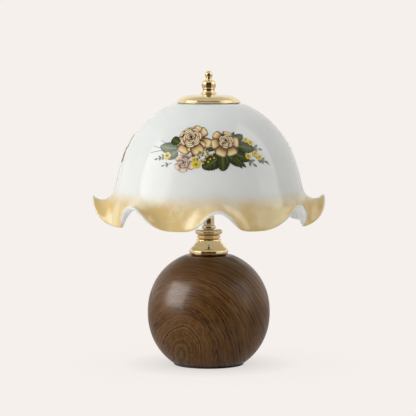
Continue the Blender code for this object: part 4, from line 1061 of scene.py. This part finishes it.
# %% Wrap the sprays on to the dome
SPRAY_LEVEL = 0.2341
SPRAY_RADIUS = 0.08563
SPRAY_SHIFT = math.radians(-0.9)
SPRAY_SEED = 3
PRINT_TURNS = {"front": 0, "right": 131, "left": 238}
PRINT_GRAIN, GRAIN_DEPTH, WORN = 1400, 0.00001, (0.74, 0.66, 0.52, 1)
fine_line = sized(DOME, DOME_RADIUS, DOME_HEIGHT, 12)
spans = []
walked = 0.0
for (near, high), (far, low) in zip(fine_line, fine_line[1:]):
    step = math.hypot(far - near, low - high)
    spans.append((walked, step, near, high, far, low))
    walked += step
spray_middle = next(start + step for start, step, *_, low in spans if low >= glass_top - SPRAY_LEVEL)

n = Finish("fired_print")
grain = n.speckle(n.place, PRINT_GRAIN, 3.0, 0.7)
wear = n.ranged(grain, 0.40, 0.80, 0.0, 0.12)
n.shade(Base_Color=n.mixed(wear, n.painted("print_colour", "Color"), WORN), Specular_IOR_Level=0.10,
        Roughness=n.ranged(grain, 0.3, 0.7, 0.10, 0.20))
n.bump(grain, GRAIN_DEPTH)


def dome_point(distance):
    """Radius, depth and outward slope of the dome at a distance from its hole along its line."""
    for start, step, near, high, far, low in spans:
        if start + step >= distance:
            share = (distance - start) / step
            slope = Vector((low - high, far - near)).normalized()
            return near + (far - near) * share, high + (low - high) * share, slope
    return *fine_line[-1], Vector((1, 0))


for word, degrees in PRINT_TURNS.items():
    bm = flat_spray(SPRAY_SEED)
    for vert in bm.verts:
        across, up, out = vert.co
        radius, depth, slope = dome_point(spray_middle - up)
        angle = across / SPRAY_RADIUS + SPRAY_SHIFT + math.radians(degrees) + SHADE_TURN
        radius += slope.x * out
        vert.co = (radius * math.sin(angle), -radius * math.cos(angle), glass_top - depth + slope.y * out)
    make_piece("rose_transfer_" + word, bm, "opal_glass", "fired_print", body="shade")
print(len(PRINT_TURNS), "sprays wrapped")

# %% [markdown]
# The harp is a bent wire. Its feet stand on the studs of a flat saddle, and two ferrules slide
# down over the joints. The wire's route is a few points with a smooth line through them, and a
# curve with a round bevel gives it its body.

# %% Harp and ferrules
WIRE = 0.0019
LEG_REACH, LEG_HEIGHT = 0.020, 0.024
LOOP = [(0.82, 0.17), (0.96, 0.36), (1.0, 0.56), (0.91, 0.77), (0.63, 0.94), (0.24, 1.0)]
FERRULE = [(0.86, 1.0), (0.97, 0.985), (1.0, 0.95), (1.0, 0.91), (0.93, 0.88), (0.90, 0.86)]
FERRULE_TUBE = [(0.90, 0.14), (0.93, 0.12), (1.0, 0.09), (1.0, 0.05), (0.97, 0.015), (0.86, 0.0)]
harp_low, harp_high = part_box("harp")
loop_start = harp_low.z + LEG_HEIGHT
rise = harp_high.z - WIRE - loop_start
right = [(LEG_REACH, harp_low.z + LEG_HEIGHT * step / 3) for step in range(4)]
right += lifted(scaled(LOOP, harp_high.x - WIRE, rise), loop_start)
path = faired([*right, (0, loop_start + rise), *((-across, up) for across, up in right[::-1])], 8)
wire = bpy.data.curves.new("harp_wire", "CURVE")
wire.dimensions = "3D"
wire.bevel_depth, wire.bevel_resolution, wire.use_fill_caps = WIRE, 5, True
spline = wire.splines.new("POLY")
spline.points.add(len(path) - 1)
for point, (across, up) in zip(spline.points, path):
    point.co = (across, 0, up, 1)
harp = add_object("harp_curve", wire)
bm = bmesh.new()
bm.from_mesh(bpy.data.meshes.new_from_object(harp.evaluated_get(bpy.context.evaluated_depsgraph_get())))
bpy.data.objects.remove(harp)
make_piece("harp_wire", bm, "plain_brass", node="harp")

for side, word in SIDES:
    node = "harp_ferrule_" + word
    low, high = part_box(node)
    radius, height = (high.y - low.y) / 2, high.z - low.z
    outer = sized(FERRULE, radius, height, 3) + sized(FERRULE_TUBE, radius, height, 3)
    section = lifted(outer + [(WIRE + CLEARANCE, 0), (WIRE + CLEARANCE, height)], low.z)
    bm = placed(spun(section, 32, ease=0), (side * LEG_REACH, 0, 0))
    make_piece("ferrule_" + word, bm, "plain_brass", body="ferrule_" + word, node=node)

# %% [markdown]
# The saddle is a strip of sheet brass with rounded ends. Its two studs are drawn up out of it, so
# here they are separate rods that sink into the strip, with a small collar where they meet.

# %% The saddle
STRIP, STRIP_CORNER, STRIP_EDGE = 0.0015, 0.0062, 0.0002
STUD_TIP_SHARE, STUD_TAPER = 0.6, 0.0007
FILLET, FILLET_FOOT, FILLET_HEIGHT = 0.0006, 0.0003, 0.0012
PUNCH_LENGTH = 0.02
low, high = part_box("harp_saddle")
bm = bmesh.new()
bmesh.ops.create_cube(bm, size=1)
bmesh.ops.scale(bm, verts=bm.verts, vec=(high.x - low.x, high.y - low.y, STRIP))
placed(bm, (0, 0, low.z + STRIP / 2))
eased(bm, [edge for edge in bm.edges if (edge.verts[0].co - edge.verts[1].co).xy.length < TOUCH],
      STRIP_CORNER, 8)
eased(bm, [edge for edge in bm.edges if edge.calc_face_angle(0) > SHARP_ANGLE], STRIP_EDGE)
saddle = make_piece("harp_saddle_strip", bm, "plain_brass", node="harp_saddle")
drilled(saddle, BORE, PUNCH_LENGTH, (0, 0, low.z))
top = high.z - low.z
section = [(0, top), (WIRE * STUD_TIP_SHARE, top), (WIRE, top - STUD_TAPER), (WIRE, STRIP + FILLET_HEIGHT),
           (WIRE + FILLET, STRIP + FILLET_FOOT), (WIRE + FILLET, STRIP / 2), (0, STRIP / 2)]
for side, word in SIDES:
    bm = placed(spun(lifted(section, low.z), 32, closed=False, ease=0), (side * LEG_REACH, 0, 0))
    make_piece("saddle_stud_" + word, bm, "plain_brass")

# %% [markdown]
# The seat of the shade, the lampholder and the knob of its switch are inside the shade, and show
# only from below. They are turned as well. The knob lies on its side, so it is spun upright and
# then tipped forward.

# %% Seat, lampholder and knob
REST = [(0.96, 1.0), (0.99, 0.8), (1.0, 0.5), (0.99, 0.2), (0.96, 0.0)]
ring_piece("seat_disc", "shade_rest", sized(REST, *node_size("shade_rest"), 3), "plain_brass", bore=STUD_HOLE)
ring_piece("seat_washer", "shade_washer", disc("shade_washer"), "rubber", "grey_rubber", bore=STUD_HOLE)

HOLDER_WALL, HUB, HUB_HEIGHT = 0.0009, 0.0075, 0.0055
CUP_SHARE = 0.975
CUP_LIP = [(1.0, 1.0), (1.0, 0.9), (CUP_SHARE, 0.88)]
CUP = [(1.0, 0.86), (1.0, 0.70), (0.985, 0.60), (0.93, 0.46), (0.82, 0.33), (0.68, 0.235), (0.56, 0.19)]
CUP_HUB_SHARE = 0.17
CUP_INSIDE = [(0.88, 0.43), (1.0, 0.66), (1.0, 1.0)]
cup_radius, cup_height = node_size("lampholder_cap")
body_radius = cup_radius * CUP_SHARE
section = scaled(CUP_LIP, cup_radius, cup_height) + sized(CUP, body_radius, cup_height)
section += [(HUB, cup_height * CUP_HUB_SHARE), (HUB, 0), (BORE, 0), (BORE, HUB_HEIGHT)]
section += scaled(CUP_INSIDE, body_radius - HOLDER_WALL, cup_height)
turned_piece("holder_cup", "lampholder_cap", section, "plain_brass")

SHELL = [(1.0, 1.0), (1.0, 0.965), (0.975, 0.95), (0.975, 0.80), (0.99, 0.785), (0.99, 0.755),
         (0.975, 0.74), (0.975, 0.08), (1.0, 0.065), (1.0, 0.0)]
shell_size = node_size("lampholder_shell")
ring_piece("holder_shell", "lampholder_shell", scaled(SHELL, *shell_size), "plain_brass",
           bore=shell_size[0] - HOLDER_WALL)

KNOB = [(0.0, 1.0), (0.55, 1.0), (0.84, 0.985), (0.97, 0.93), (1.0, 0.86), (0.95, 0.70), (0.86, 0.52),
        (0.82, 0.40), (0.88, 0.22), (0.90, 0.10), (0.80, 0.0)]
KNOB_LENGTH, KNOB_RADIUS, SHAFT = 0.0125, 0.005, 0.0016
FLUTES, FLUTE_SHARE, FLUTE_START_SHARE = 10, 0.05, 0.03
knob_low, knob_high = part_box("switch_knob")
knob_back = knob_high.y - knob_low.y - KNOB_LENGTH
outer = lifted(sized(KNOB, KNOB_RADIUS, KNOB_LENGTH, 4), knob_back)
bm = spun(outer + [(SHAFT, knob_back), (SHAFT, 0), (0, 0)], 80, closed=False, ease=FINE_EDGE)
for vert in bm.verts:
    radius = vert.co.xy.length
    if radius > SHAFT * 1.5 and vert.co.z > knob_back + KNOB_LENGTH * FLUTE_START_SHARE:
        wave = (1 + math.cos(FLUTES * math.atan2(vert.co.y, vert.co.x))) / 2
        vert.co.xy *= 1 - FLUTE_SHARE * wave * radius / KNOB_RADIUS
placed(bm, (0, knob_high.y, (knob_low.z + knob_high.z) / 2), 1)
make_piece("turn_knob", bm, "black_plastic", body="switch", node="switch_knob")

# %% [markdown]
# The gland that guides the cord is a small plastic ring at the back of the ball. It is spun
# upright and tipped back so that it points out of the ball.

# %% The cord gland
GLAND_EDGE = 0.0001
LIP_INSIDE, LIP_ROUND, LIP_CREST, LIP_DROP, LIP_SIDE = 0.0004, 0.0008, 0.0002, 0.0003, 0.0009
gland_reach = gland_high.y - gland_low.y
section = [(GLAND_BORE + LIP_INSIDE, gland_reach), (COLLAR - LIP_ROUND, gland_reach),
           (COLLAR - LIP_CREST, gland_reach - LIP_DROP), (COLLAR, gland_reach - LIP_SIDE),
           (COLLAR, gland_reach - COLLAR_HEIGHT), (SLEEVE, gland_reach - COLLAR_HEIGHT), (SLEEVE, 0),
           (GLAND_BORE, 0), (GLAND_BORE, gland_reach - LIP_INSIDE)]
bm = placed(spun(section, 64, ease=GLAND_EDGE), (0, gland_low.y, gland_level), -1)
make_piece("cord_gland", bm, "black_plastic", node="cord_bush")

# %% [markdown]
# The bulb is a thin globe of clear glass on a screw cap. The globe is open at its neck and has a
# real wall, so light bends through two skins. The cap's thread is drawn as round ridges.

# %% The bulb
GLOBE_RADIUS, GLOBE_WALL, GLOBE_ROWS = 0.0225, 0.0009, 30
GLOBE_SWEEP = math.radians(142)
NECK_TOP = 0.00435
SKIRT_RADIUS, SKIRT_HEIGHT, SHEET = 0.0086, 0.004, 0.0005
THREAD_RADIUS, THREAD_DEPTH, THREAD_TURNS, THREAD_ROWS = 0.00695, 0.00045, 5, 60
THREAD_START, THREAD_END = 0.0018, 0.0022
CONTACT_HOLE, CONTACT_EDGE = 0.0031, 0.0036
CORE_GAP, CORE_LOW, CORE_HIGH = 0.0012, 0.0028, 0.0024


def globe_line(radius, throat):
    middle = node_size("bulb_glass")[1] - GLOBE_RADIUS
    line = []
    for row in range(GLOBE_ROWS + 1):
        angle = math.pi / 2 - GLOBE_SWEEP * row / GLOBE_ROWS
        line.append((max(0.0, radius * math.cos(angle)), middle + radius * math.sin(angle)))
    across, up = line[-1]
    bend = [line[-2], line[-1], ((across + throat * 2) / 3, (up * 2 + NECK_TOP) / 3), (throat, NECK_TOP),
            (throat, 0)]
    return line[:-2] + faired(bend, 6)


neck_radius = SKIRT_RADIUS - SHEET - CLEARANCE
section = globe_line(GLOBE_RADIUS, neck_radius)
section += globe_line(GLOBE_RADIUS - GLOBE_WALL, neck_radius - GLOBE_WALL)[::-1]
turned_piece("globe", "bulb_glass", section, "bulb_glass", "bulb_clear_glass", closed=False, ease=0)

screw_height = node_size("bulb_cap")[1]
skirt_level = screw_height - SKIRT_HEIGHT
thread_length = skirt_level - THREAD_START - THREAD_END
thread = []
for row in range(THREAD_ROWS + 1):
    share = row / THREAD_ROWS
    groove = THREAD_DEPTH * (1 + math.cos(share * THREAD_TURNS * math.tau)) / 2
    thread.append((THREAD_RADIUS - groove, skirt_level - THREAD_START - thread_length * share))
core = THREAD_RADIUS - CORE_GAP
section = [(SKIRT_RADIUS, screw_height), (SKIRT_RADIUS, skirt_level), *thread, (CONTACT_EDGE, 0),
           (CONTACT_HOLE, SHEET), (core, CORE_LOW), (core, skirt_level - CORE_HIGH),
           (SKIRT_RADIUS - SHEET, skirt_level), (SKIRT_RADIUS - SHEET, screw_height)]
turned_piece("bulb_screw_cap", "bulb_cap", section, "plated_steel", steps=64, ease=0)

# %% [markdown]
# A few CAD nodes already have the right shape and hardly show. They keep their meshes and only
# get a finish.

# %% Dress the nodes that stay
KEPT = {
    "cast_iron": ("base_weight",), "grey_rubber": ("shade_bush",), "moulded_body": ("lampholder_core",),
    "plated_steel": ("bottom_washer", "bottom_locknut", "threaded_tube", "harp_stud"),
    "contact_brass": ("screw_shell", "centre_contact", "bulb_contact", "bulb_filament"),
    "bulb_clear_glass": ("bulb_stem",),
}
for finish_name, nodes in KEPT.items():
    for node in nodes:
        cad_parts[node].material_slots[0].material = finishes[finish_name]
print(sum(map(len, KEPT.values())), "nodes keep their CAD mesh")
